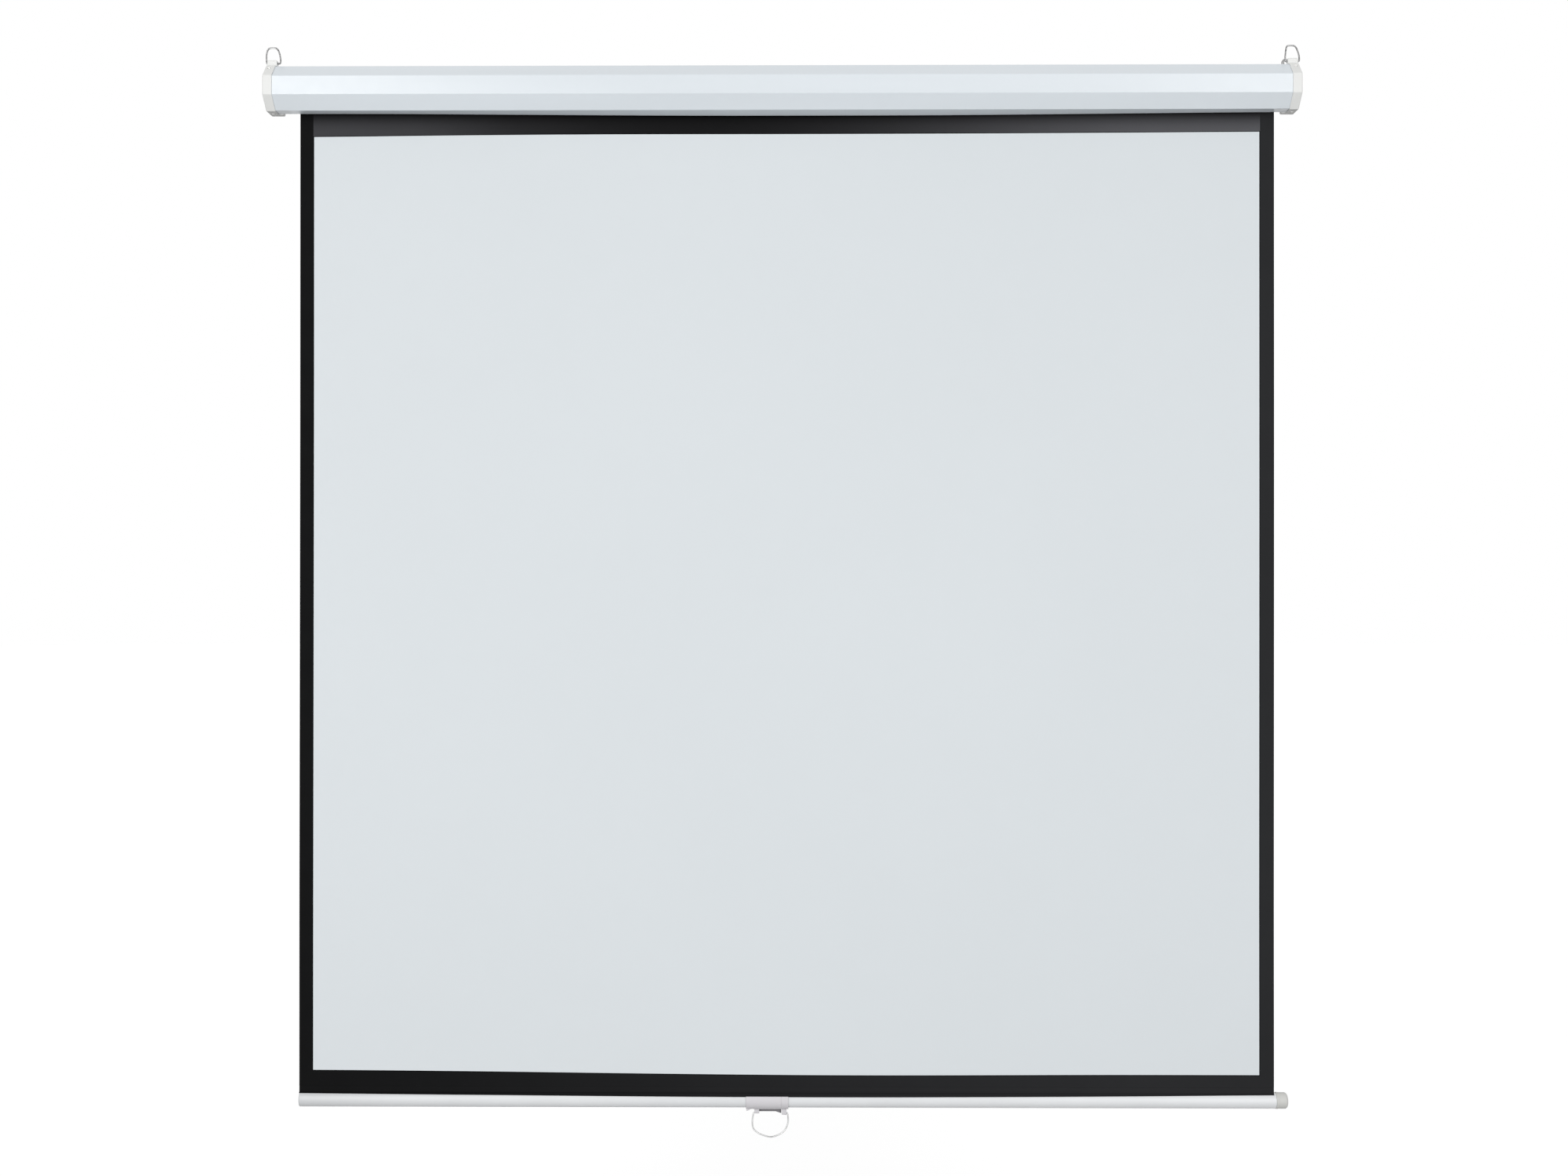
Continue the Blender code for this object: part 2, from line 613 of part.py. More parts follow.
def ratchet_outline():
    """Notches with a radial locking face on one side and a ramp on the other."""
    out = []
    step = 2 * math.pi / RATCHET_NOTCHES
    side = math.asin(HOOK_SIDE / RATCHET_RADIUS)
    foot = math.asin(HOOK_SIDE / RATCHET_FLOOR)
    for i in range(RATCHET_NOTCHES):
        at = HOOK_ANGLE + i * step
        out.append(polar(RATCHET_RADIUS, at - side - RATCHET_RAMP))
        out.append(polar(RATCHET_FLOOR, at - foot))
        out.append(polar(RATCHET_FLOOR, at + foot))
        rim_start, rim_end = at + side, at + step - side - RATCHET_RAMP
        out += [polar(RATCHET_RADIUS, rim_start + (rim_end - rim_start) * k / 6) for k in range(6)]
    return out


ratchet = plate("ratchet_wheel", [ratchet_outline(), circle(SPINDLE_RADIUS + FIT, 32)], RATCHET_THICK)
place(ratchet, housing, (RATCHET_X - RATCHET_THICK / 2, ROLLER_Y, 0), FLAT_IN_YZ)
finish(ratchet, (0.60, 0.56, 0.45), 0.4, 1.0)

spring_left = TUBE_LEFT + PLUG_LENGTH + SPRING_END
spring_right = SPINDLE_END + BEARING_PAST - BEARING_LENGTH - SPRING_END
spring_radius = SPINDLE_RADIUS + SPRING_GAP + SPRING_WIRE / 2
spring_steps = SPRING_TURNS * SPRING_POINTS
spring_points = []
for i in range(spring_steps + 1):
    angle = 2 * math.pi * i / SPRING_POINTS
    along = spring_left + (spring_right - spring_left) * i / spring_steps
    spring_points.append((along, *polar(spring_radius, angle)))
spring = wire("torsion_spring", spring_points, SPRING_WIRE / 2, resolution=1)
place(spring, housing, (0, ROLLER_Y, 0))
finish(spring, (0.50, 0.50, 0.52), 0.3, 1.0)
turn_gap = min((Vector(a) - Vector(b)).length for a, b in zip(spring_points, spring_points[SPRING_POINTS:]))
print(f"spring: {SPRING_TURNS} turns, least gap between turns {(turn_gap - SPRING_WIRE) * 1000:.2f} mm")


# Roller: tube, end plugs, spindle bearing, idle pin, the turns left on it and the two pawls

tube_long = TUBE_RIGHT - TUBE_LEFT
bore_radius = ROLLER_RADIUS - ROLLER_WALL
tube_loop = [(ROLLER_RADIUS, tube_long), (ROLLER_RADIUS, 0), (bore_radius, 0), (bore_radius, tube_long)]
tube = place(turned("roller_tube", tube_loop, 48, loop=True), roller, (TUBE_LEFT, ROLLER_Y, 0), ALONG_X)
finish(tube, (0.62, 0.63, 0.64), 0.35, 1.0)

wrap_loop = [(WRAP_RADIUS, SHEET_WIDTH), (WRAP_RADIUS, 0), (ROLLER_RADIUS + FIT, 0),
             (ROLLER_RADIUS + FIT, SHEET_WIDTH)]
wraps = place(turned("sheet_on_roller", wrap_loop, 48, loop=True), roller, (SHEET_LEFT, ROLLER_Y, 0), ALONG_X)
finish(wraps, (0.03, 0.03, 0.035), 0.7)

plug_body = bore_radius - FIT
plug_bore = SPINDLE_RADIUS + FIT
plug_long = FLANGE_THICK + PLUG_LENGTH
spring_plug_loop = [(plug_body, plug_long), (plug_body, FLANGE_THICK), (FLANGE_RADIUS, FLANGE_THICK),
                    (FLANGE_RADIUS, 0), (plug_bore, 0), (plug_bore, plug_long)]
spring_plug = turned("spring_end_plug", spring_plug_loop, 40, loop=True)
place(spring_plug, roller, (TUBE_LEFT - FIT - FLANGE_THICK, ROLLER_Y, 0), ALONG_X)
finish(spring_plug, (0.30, 0.31, 0.33), 0.5)

idle_plug_loop = [(FLANGE_RADIUS, plug_long), (FLANGE_RADIUS, PLUG_LENGTH), (plug_body, PLUG_LENGTH),
                  (plug_body, 0), (GUDGEON_RADIUS + FIT, 0), (GUDGEON_RADIUS + FIT, plug_long)]
idle_plug = turned("idle_end_plug", idle_plug_loop, 40, loop=True)
place(idle_plug, roller, (TUBE_RIGHT + FIT - PLUG_LENGTH, ROLLER_Y, 0), ALONG_X)
finish(idle_plug, (0.30, 0.31, 0.33), 0.5)

bearing_loop = [(plug_body, BEARING_LENGTH), (plug_body, 0), (plug_bore, 0), (plug_bore, BEARING_LENGTH)]
bearing = turned("spindle_bearing", bearing_loop, 40, loop=True)
place(bearing, roller, (SPINDLE_END + BEARING_PAST - BEARING_LENGTH, ROLLER_Y, 0), ALONG_X)
finish(bearing, (0.82, 0.80, 0.74), 0.5)

gudgeon_left = TUBE_RIGHT + FIT - PLUG_LENGTH + FIT
gudgeon_right = CAP_FACE - TANG_INSET
gudgeon = rod("idle_pin", GUDGEON_RADIUS, gudgeon_right - gudgeon_left)
place(gudgeon, roller, ((gudgeon_left + gudgeon_right) / 2, ROLLER_Y, 0), ALONG_X)
finish(gudgeon, (0.55, 0.55, 0.55), 0.3, 1.0)


def pawl_outline():
    """A pawl about its pivot: boss, curved arm and hook, lifted clear of the ratchet wheel."""
    pivot = Vector((0.0, PAWL_PIVOT))
    top = math.pi / 2
    side = math.asin(PAWL_HOOK / 2 / PAWL_OUTER)
    tip = RATCHET_FLOOR + FIT
    line = [polar(PAWL_BOSS, -top + math.pi * k / 8) for k in range(9)]
    line = [Vector(p) + pivot for p in line]
    outer_start = PAWL_PIVOT + PAWL_BOSS
    for k in range(1, 7):
        share = k / 6
        line.append(Vector(polar(outer_start + (PAWL_OUTER - outer_start) * share,
                                 top + (PAWL_HOOK_AT + side) * share)))
    across = Vector((-math.sin(HOOK_ANGLE), math.cos(HOOK_ANGLE)))
    out = Vector((math.cos(HOOK_ANGLE), math.sin(HOOK_ANGLE)))
    line.append(out * tip + across * PAWL_HOOK / 2)
    line.append(out * tip - across * PAWL_HOOK / 4)
    line.append(out * (tip + PAWL_HOOK / 3) - across * PAWL_HOOK / 2)
    back = HOOK_ANGLE - math.asin(PAWL_HOOK / 2 / PAWL_INNER)
    line += [Vector(polar(PAWL_INNER, back + (top + 0.12 - back) * k / 5)) for k in range(6)]
    lift = Matrix.Rotation(-PAWL_LIFT, 2)
    return [tuple(lift @ (p - pivot)) for p in line]


pin_top = PAWL_HEAD_THICK + FIT + PAWL_THICK + FIT + FLANGE_THICK + PAWL_THICK
pin_line = [(0, pin_top), (PAWL_PIN, pin_top), (PAWL_PIN, PAWL_HEAD_THICK), (PAWL_HEAD, PAWL_HEAD_THICK),
            (PAWL_HEAD, 0), (0, 0)]
for key, turn in (("a", 1), ("b", -1)):
    outline = [(turn * u, turn * v) for u, v in pawl_outline()]
    pawl = plate("pawl_" + key, [outline, circle(PAWL_PIN + FIT, 16)], PAWL_THICK)
    place(pawl, pawl_axes[key], (RATCHET_X - PAWL_THICK / 2, ROLLER_Y, turn * PAWL_PIVOT), FLAT_IN_YZ)
    finish(pawl, (0.60, 0.56, 0.45), 0.4, 1.0)

    pin = turned("pawl_pin_" + key, pin_line, 16)
    pin_left = RATCHET_X - PAWL_THICK - FIT - PAWL_HEAD_THICK
    place(pin, roller, (pin_left, ROLLER_Y, turn * PAWL_PIVOT), ALONG_X)
    finish(pin, (0.55, 0.55, 0.55), 0.3, 1.0)

    pin_hole_long = 2 * (FLANGE_THICK + PAWL_THICK + 2 * FIT)
    pin_hole = rod("pin_hole_" + key, PAWL_PIN + FIT, pin_hole_long, 16)
    place(pin_hole, None, (RATCHET_X + FIT, ROLLER_Y, turn * PAWL_PIVOT), ALONG_X)
    boolean(spring_plug, pin_hole)


# Sheet: it hangs from the roller's rear side to the hem on the bar

sheet_low = HEM_TOP + FIT
hanging = box("screen_sheet", (SHEET_WIDTH, SHEET_THICK, -sheet_low))
place(hanging, housing, ((SHEET_LEFT + SHEET_RIGHT) / 2, SHEET_Y, sheet_low / 2))
finish(hanging, (0.88, 0.90, 0.92), 0.75)


# Weight bar: tube, left plug, right cap and the hem that laps over its front

bar_left = SHEET_LEFT - BAR_PAST_LEFT
bar_tube_left = bar_left + BAR_PLUG_HEAD + FIT
bar_tube_right = SHEET_RIGHT + BAR_PAST_RIGHT
bar_long = bar_tube_right - bar_tube_left
bar_bore = BAR_RADIUS - BAR_WALL
bar_loop = [(BAR_RADIUS, bar_long), (BAR_RADIUS, 0), (bar_bore, 0), (bar_bore, bar_long)]
bar_tube = place(turned("bar_tube", bar_loop, 48, loop=True), bar, (bar_tube_left, BAR_Y, BAR_Z), ALONG_X)
finish(bar_tube, (0.80, 0.82, 0.84), 0.28, 1.0)

plug_top = BAR_PLUG_HEAD + BAR_PLUG_DEEP
plug_line = [(0, plug_top), (bar_bore - FIT, plug_top), (bar_bore - FIT, BAR_PLUG_HEAD), (BAR_RADIUS, BAR_PLUG_HEAD),
             (BAR_RADIUS, BAR_PLUG_HEAD / 3), (BAR_RADIUS - BAR_PLUG_HEAD / 3, 0), (0, 0)]
bar_plug = place(turned("bar_plug_l", plug_line, 36), bar, (bar_left, BAR_Y, BAR_Z), ALONG_X)
finish(bar_plug, (0.74, 0.74, 0.72), 0.5)

cap_end = BAR_CAP_DEEP + BAR_CAP_LONG
nose = [(BAR_CAP_RADIUS - BAR_CAP_ROUND + BAR_CAP_ROUND * math.sin(a), cap_end - BAR_CAP_ROUND * (1 - math.cos(a)))
        for a in [math.pi / 2 * k / 5 for k in range(6)]]
cap_line = [(0, cap_end)] + nose
cap_line += [(BAR_CAP_RADIUS, BAR_CAP_DEEP + BAR_CAP_LIP_LONG), (BAR_CAP_LIP, BAR_CAP_DEEP + BAR_CAP_LIP_LONG - FIT),
             (BAR_CAP_LIP, BAR_CAP_DEEP), (bar_bore - FIT, BAR_CAP_DEEP), (bar_bore - FIT, 0), (0, 0)]
bar_cap = turned("bar_cap_r", cap_line, 36)
place(bar_cap, bar, (bar_tube_right + FIT - BAR_CAP_DEEP, BAR_Y, BAR_Z), ALONG_X)
finish(bar_cap, (0.72, 0.70, 0.67), 0.5)


def on_bar(radius, above_front):
    """A (y, z) point on a circle about the bar, by its angle above the level front."""
    return (BAR_Y - radius * math.cos(above_front), BAR_Z + radius * math.sin(above_front))


hem_radius = BAR_RADIUS + FIT + SHEET_THICK / 2
hem_meets = math.acos(BAR_BEHIND / hem_radius)
hem_arc = [on_bar(hem_radius, hem_meets + (HEM_END - hem_meets) * k / 4) for k in range(5)]
hem = sheet("bar_hem", [(SHEET_Y, HEM_TOP)] + hem_arc, SHEET_LEFT, SHEET_RIGHT, SHEET_THICK, inward=0.0)
place(hem, bar, (0, 0, 0))
finish(hem, (0.03, 0.03, 0.035), 0.7)


# Handle: a clip and its jaw hold the bar, and a wire bail swings in their ears

clip_radius = BAR_RADIUS + FIT
clip_arc = [on_bar(clip_radius, CLIP_FRONT - (CLIP_FRONT + CLIP_BACK) * k / 26) for k in range(27)]
ear_top = clip_radius + CLIP_WALL * 0.3
ear_low = BAIL_UNDER + BAIL_WIRE / 2 + CLIP_WALL
ear_out = BAIL_WIDTH / 2 - BAIL_WIRE / 2 - EAR_GAP
for name, left, right, side in (("handle_clip", CLIP_LEFT, CLIP_SEAM - FIT, -1),
                                ("handle_jaw", CLIP_SEAM, CLIP_RIGHT, 1)):
    clip = place(sheet(name, clip_arc, left, right, CLIP_WALL), bar, (0, 0, 0))
    ear = box("ear_" + name, (EAR_LONG, EAR_DEEP, ear_low - ear_top))
    ear_x = BAIL_CENTRE + side * (ear_out - EAR_LONG / 2)
    place(ear, None, (ear_x, BAR_Y, BAR_Z - (ear_low + ear_top) / 2))
    foot = ear.modifiers.new("Edge", "BEVEL")
    foot.width = 0.0012
    foot.segments = 2
    foot.limit_method = "ANGLE"
    boolean(clip, ear, "UNION")
    bore = rod("bail_bore_" + name, BAIL_WIRE / 2 + FIT, EAR_LONG + 0.01, 16)
    place(bore, None, (ear_x, BAR_Y, BAR_Z - BAIL_UNDER), ALONG_X)
    boolean(clip, bore)
    finish(clip, (0.80, 0.80, 0.79), 0.45)

bail_half = [(0, -BAIL_DROP), (0.0080, -BAIL_DROP), (0.0262, -0.0270), (BAIL_WIDTH / 2 + 0.0014, -0.0140),
             (BAIL_WIDTH / 2, 0), (BAIL_WIDTH / 2 - BAIL_TAIL, 0)]
half_line = rounded(bail_half, [0.020, 0.0100, 0.030, 0.0017], 5)
bail_points = [(x, 0, z) for x, z in reversed(half_line)] + [(-x, 0, z) for x, z in half_line[1:]]
bail = wire("pull_bail", bail_points, BAIL_WIRE / 2)
place(bail, bail_axis, bail_axis.location)
finish(bail, (0.75, 0.76, 0.77), 0.2, 1.0)


# Rings: a closed wire whose straight side turns in the lug's bore

ring_corners = [(0, 0), (RING_FOOT / 2, 0), (RING_BELLY / 2, RING_BELLY_UP), (RING_TOP / 2, RING_HEIGHT),
                (-RING_TOP / 2, RING_HEIGHT), (-RING_BELLY / 2, RING_BELLY_UP), (-RING_FOOT / 2, 0), (0, 0)]
ring_bends = [RING_FOOT_BEND, RING_BELLY_BEND, RING_TOP_BEND, RING_TOP_BEND, RING_BELLY_BEND, RING_FOOT_BEND]
ring_line = rounded(ring_corners, ring_bends, 4)[:-1]
for key, axis in ring_axes.items():
    ring = wire("hang_ring_" + key, [(x, 0, z) for x, z in ring_line], RING_WIRE / 2, loop=True)
    place(ring, axis, axis.location)
    finish(ring, (0.80, 0.80, 0.80), 0.12, 1.0)
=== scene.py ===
"""Looks of the pull down projector screen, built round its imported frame.

The housing is painted steel with two moulded end caps, wire rings and a wall tab. The sheet hangs from the
roller to a round weight bar, with a clip and a wire bail at its middle. Each sub-assembly is a class that
holds its sizes, builds its surfaces with numpy and dresses them. Frame: X along the roller, front towards
-Y, +Z up, metres.
"""

from __future__ import annotations

import logging
import math
from dataclasses import dataclass
from enum import Enum
from typing import ClassVar

import bmesh
import bpy
import numpy as np
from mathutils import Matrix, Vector


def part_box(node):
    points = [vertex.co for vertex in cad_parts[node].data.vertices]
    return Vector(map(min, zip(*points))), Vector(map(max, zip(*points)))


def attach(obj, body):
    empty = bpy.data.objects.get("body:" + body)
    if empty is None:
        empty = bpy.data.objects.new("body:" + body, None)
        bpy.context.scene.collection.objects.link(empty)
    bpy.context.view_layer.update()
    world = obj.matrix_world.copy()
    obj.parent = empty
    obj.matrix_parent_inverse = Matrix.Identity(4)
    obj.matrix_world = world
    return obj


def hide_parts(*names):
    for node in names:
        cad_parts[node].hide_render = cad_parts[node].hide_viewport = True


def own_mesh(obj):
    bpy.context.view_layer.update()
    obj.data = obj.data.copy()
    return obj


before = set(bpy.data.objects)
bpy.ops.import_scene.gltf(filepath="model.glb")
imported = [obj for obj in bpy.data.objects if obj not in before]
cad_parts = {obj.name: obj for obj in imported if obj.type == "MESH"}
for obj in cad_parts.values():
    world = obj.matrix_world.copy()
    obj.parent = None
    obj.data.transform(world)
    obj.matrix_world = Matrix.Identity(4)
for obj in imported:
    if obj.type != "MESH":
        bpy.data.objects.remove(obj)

log = logging.getLogger("projector_screen")
Array = np.ndarray
Colour = tuple[float, float, float]
Knots = tuple[tuple[float, float], ...]
Socket = bpy.types.NodeSocket
EIGHTH = math.pi / 4
QUARTER = math.pi / 2
MERGE_WITHIN = 2e-6
RING_WIRE = 0.0024
ALONG_X = np.array([1.0, 0.0, 0.0])
ALONG_Y = np.array([0.0, 1.0, 0.0])


class Side(Enum):
    """The housing's two ends, as seen from the front."""

    LEFT = -1
    RIGHT = 1

    @property
    def key(self) -> str:
        """The letter that ends this side's piece names."""
        return "l" if self is Side.LEFT else "r"


class Dye(Enum):
    """The cloth's finishes, in the order of its material slots."""

    WHITE = 0
    DROP = 1
    BORDER = 2
    EDGE = 3
    BACK = 4


# Measures taken from the frame


def middle_of(node: str) -> Array:
    """The middle of a solid's box."""
    return np.array(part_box(node)).mean(0)


def ring_pivot(side: Side) -> Array:
    """The point on a ring's axis in the middle of its lug: half a wire above the ring's lowest point."""
    node = f"hang_ring_{side.key}"
    return np.array([*middle_of(node)[:2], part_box(node)[0].z + RING_WIRE / 2])


# Surfaces: arrays of points, the quads that join them and the mesh that holds both


def unit(vectors: Array) -> Array:
    """Vectors of length one, along the last axis."""
    return vectors / np.linalg.norm(vectors, axis=-1, keepdims=True)


def soft_step(t: Array) -> Array:
    """Three t squared less two t cubed, with t held between 0 and 1."""
    t = np.clip(t, 0.0, 1.0)
    return t * t * (3.0 - 2.0 * t)


def round_turn(sides: int, start: float = 0.0) -> Array:
    """Angles spaced evenly round a circle, the first one start steps past 0."""
    return 2 * math.pi * (np.arange(sides) + start) / sides


def rounded_line(corners: Array, radii: Array, steps: int, hold: float) -> Array:
    """An open line with an arc at each inner corner.

    An arc's centre lies on its corner's bisector, at the radius over the sine of half the corner's angle,
    and its points turn about that centre from one touching point to the other.

    Args:
        corners: The line's corners, one a row.
        radii: The radius at each inner corner.
        steps: Segments in an arc.
        hold: Distance before and after an arc of a point that keeps the flats flat under smooth shading.

    Returns:
        The rounded line's points.
    """
    corner = corners[1:-1]
    one, two = unit(corners[:-2] - corner), unit(corners[2:] - corner)
    half = np.arccos(np.clip((one * two).sum(1), -1.0, 1.0)) / 2
    radius = radii[:, None]
    centre = corner + unit(one + two) * radius / np.sin(half)[:, None]
    reach = radius / np.tan(half)[:, None]
    start, end = corner + one * reach - centre, corner + two * reach - centre
    sweep = (math.pi - 2 * half)[:, None, None]
    t = np.linspace(0.0, 1.0, steps + 1)[None, :, None]
    arcs = np.sin((1 - t) * sweep) * start[:, None] + np.sin(t * sweep) * end[:, None]
    arcs = centre[:, None] + arcs / np.sin(sweep)
    held = [arcs[:, :1] + one[:, None] * hold, arcs, arcs[:, -1:] + two[:, None] * hold]
    return np.concatenate([corners[:1], np.concatenate(held, 1).reshape(-1, 2), corners[-1:]])


def beside(line: Array, distance: float) -> Array:
    """A flat line moved sideways by a distance.

    Each point moves along the mean of its two edges' normals, lengthened by one over the cosine of half
    their turn, so that both edges keep the distance.

    Args:
        line: Points of two columns.
        distance: How far, to the right of the line's direction.

    Returns:
        The moved line.
    """
    edge = unit(np.diff(line, axis=0))
    normal = np.stack([edge[:, 1], -edge[:, 0]], 1)
    before, after = np.vstack([normal[:1], normal]), np.vstack([normal, normal[-1:]])
    mean = unit(before + after)
    return line + mean * (distance / (mean * after).sum(1))[:, None]


def smooth_line(x: Array, knots: Knots, reach: float = 0.1) -> Array:
    """A value at each x: straight pieces between knots, averaged over a reach on either side.

    Args:
        x: The places.
        knots: Places and values, from the lowest place to the highest.
        reach: How far the average goes on either side.

    Returns:
        The values.
    """
    places, values = np.array(knots).T
    shifts = np.linspace(-reach, reach, 9)[:, None]
    return np.interp(x[None] + shifts, places, values).mean(0)


def curve_through(points: Array, steps: int, closed: bool = False) -> Array:
    """A Catmull-Rom curve: between two points, a cubic whose slopes are half the chords of their neighbours.

    Args:
        points: The points the curve passes, one a row.
        steps: Segments between two of them.
        closed: Whether the last point leads back to the first.

    Returns:
        The curve's points.
    """
    if closed:
        p = np.vstack([points[-1:], points, points[:2]])
    else:
        p = np.vstack([2 * points[:1] - points[1:2], points, 2 * points[-1:] - points[-2:-1]])
    a, b, c, d = (q[:, None] for q in (p[:-3], p[1:-2], p[2:-1], p[3:]))
    t = (np.arange(steps) / steps)[None, :, None]
    out = 0.5 * (2 * b + (c - a) * t + (2 * a - 5 * b + 4 * c - d) * t**2 + (3 * b - a - 3 * c + d) * t**3)
    out = out.reshape(-1, points.shape[1])
    return out if closed else np.vstack([out, points[-1:]])


def grid_quads(rows: int, cols: int, wrap_rows: bool = False, wrap_cols: bool = False) -> Array:
    """Quads that join each grid point to the next row and the next column.

    Args:
        rows: The grid's rows.
        cols: The grid's columns.
        wrap_rows: Whether the last row leads back to the first.
        wrap_cols: Whether the last column does.

    Returns:
        Four point numbers for each quad.
    """
    r, c = np.meshgrid(np.arange(rows - (not wrap_rows)), np.arange(cols - (not wrap_cols)), indexing="ij")
    r1, c1 = (r + 1) % rows, (c + 1) % cols
    return np.stack([r * cols + c, r * cols + c1, r1 * cols + c1, r1 * cols + c], -1).reshape(-1, 4)


def strip_quads(rows: int, cols: int, first: int = 0) -> Array:
    """Quads of a thin closed section carried along a line, with a strip across each end.

    The section's second half runs back beside its first half, and an end's quads join the two.

    Args:
        rows: How many sections there are.
        cols: Points in a section, an even number.
        first: The number of the point that starts the first half.

    Returns:
        Four point numbers for each quad.
    """
    loop = (np.arange(cols) + first) % cols
    there, back = loop[: cols // 2], loop[cols // 2 :][::-1]
    end = np.stack([there[:-1], there[1:], back[1:], back[:-1]], 1)
    return np.vstack([grid_quads(rows, cols, wrap_cols=True), end, end[:, ::-1] + (rows - 1) * cols])


def carried(x: Array, section: Array) -> Array:
    """The points of a section carried along X.

    Args:
        x: X of each copy of the section.
        section: The section's points in y and z, or one such section for each x.

    Returns:
        The points, a row for each x.
    """
    sections = np.broadcast_to(section, (len(x), *section.shape[-2:]))
    return np.concatenate([np.broadcast_to(x[:, None, None], (*sections.shape[:2], 1)), sections], 2)


def with_poles(rings: Array) -> Array:
    """Rings of points and, before and after them, a ring drawn together at the end ring's middle."""
    first, last = (np.broadcast_to(rings[k].mean(0), (1, *rings.shape[1:])) for k in (0, -1))
    return np.concatenate([first, rings, last])


def turned(
    profile: Array, origin: Array, axis: Array = ALONG_X, sides: int = 64, ring: bool = False
) -> tuple[Array, Array]:
    """A profile turned about a line.

    A point is the origin plus the height times the axis plus the radius times (cos a times u plus sin a
    times v), where u and v stand square to the axis.

    Args:
        profile: The height and the radius of each point; a radius of 0 closes to a pole.
        origin: The point of the line at height 0.
        axis: The line's direction.
        sides: Steps round the line.
        ring: Whether the profile's last point leads back to its first.

    Returns:
        The points and the quads.
    """
    u = unit(np.cross(axis, ALONG_X if abs(axis[0]) < 0.9 else (0.0, 0.0, -1.0)))
    v = np.cross(axis, u)
    a = round_turn(sides)[None, :, None]
    height, radius = profile.T[:, :, None, None]
    points = origin + height * axis + radius * (np.cos(a) * u + np.sin(a) * v)
    return points, grid_quads(len(profile), sides, wrap_rows=ring, wrap_cols=True)


def wire_along(path: Array, radius: float, closed: bool, sides: int = 14) -> tuple[Array, Array]:
    """A round wire along a path in a plane square to Y.

    Each ring is the path's point plus the radius times (cos a times n plus sin a times b), where b runs along
    Y and n is b crossed with the path's direction. An open wire's ends are domed by rings that shrink as a
    quarter circle.

    Args:
        path: The wire's centre line.
        radius: Half the wire's thickness.
        closed: Whether the path closes on itself.
        sides: Steps round the wire.

    Returns:
        The points and the quads.
    """
    size = np.full(len(path), radius)
    if closed:
        along = unit(np.roll(path, -1, 0) - np.roll(path, 1, 0))
    else:
        along = unit(np.gradient(path, axis=0))
        dome = np.linspace(QUARTER, 0.0, 5)[:-1]
        out, thin = radius * np.sin(dome)[:, None], radius * np.cos(dome)
        path = np.vstack([path[:1] - along[:1] * out, path, path[-1:] + along[-1:] * out[::-1]])
        size = np.concatenate([thin, size, thin[::-1]])
        along = np.vstack([np.repeat(along[:1], len(dome), 0), along, np.repeat(along[-1:], len(dome), 0)])
    side = unit(np.cross(ALONG_Y, along))
    a = round_turn(sides)[None, :, None]
    rings = path[:, None] + size[:, None, None] * (np.cos(a) * side[:, None] + np.sin(a) * ALONG_Y)
    return rings, grid_quads(len(path), sides, wrap_rows=closed, wrap_cols=True)


def close_and_smooth(mesh: bpy.types.Mesh, sharp: float, cut: bool = False) -> None:
    """Merge a mesh's doubles and smooth it.

    Args:
        mesh: The mesh.
        sharp: Angle in degrees past which an edge stays sharp.
        cut: Whether it comes from a cut, which leaves slivers; otherwise its faces are turned out.
    """
    bm = bmesh.new()
    bm.from_mesh(mesh)
    bmesh.ops.remove_doubles(bm, verts=bm.verts, dist=MERGE_WITHIN)
    if cut:
        bmesh.ops.dissolve_degenerate(bm, edges=bm.edges, dist=MERGE_WITHIN / 2)
    else:
        bmesh.ops.recalc_face_normals(bm, faces=bm.faces)
    bm.to_mesh(mesh)
    bm.free()
    mesh.shade_smooth()
    mesh.set_sharp_from_angle(angle=math.radians(sharp))


def make_piece(
    name: str,
    points: Array,
    quads: Array,
    sharp: float = 35.0,
    uv: Array | None = None,
    slots: Array | None = None,
) -> bpy.types.Object:
    """Put points and quads in a mesh, close its poles, turn its faces out and smooth it.

    Args:
        name: The piece's name.
        points: Points, three numbers each.
        quads: Four point numbers for each face.
        sharp: Angle in degrees past which an edge stays sharp.
        uv: Two numbers for each point, or None.
        slots: The material slot of each face, or None.

    Returns:
        The object, at the origin.
    """
    mesh = bpy.data.meshes.new(name)
    mesh.from_pydata(points.reshape(-1, 3).tolist(), [], quads.tolist())
    if uv is not None:
        corner = np.zeros(len(mesh.loops), np.int32)
        mesh.loops.foreach_get("vertex_index", corner)
        spots = uv.reshape(-1, 2)[corner].ravel().astype(np.float32)
        mesh.uv_layers.new(name="UVMap").data.foreach_set("uv", spots)
    if slots is not None:
        mesh.polygons.foreach_set("material_index", slots.astype(np.int32))
    close_and_smooth(mesh, sharp)
    piece = bpy.data.objects.new(name, mesh)
    bpy.context.scene.collection.objects.link(piece)
    return piece


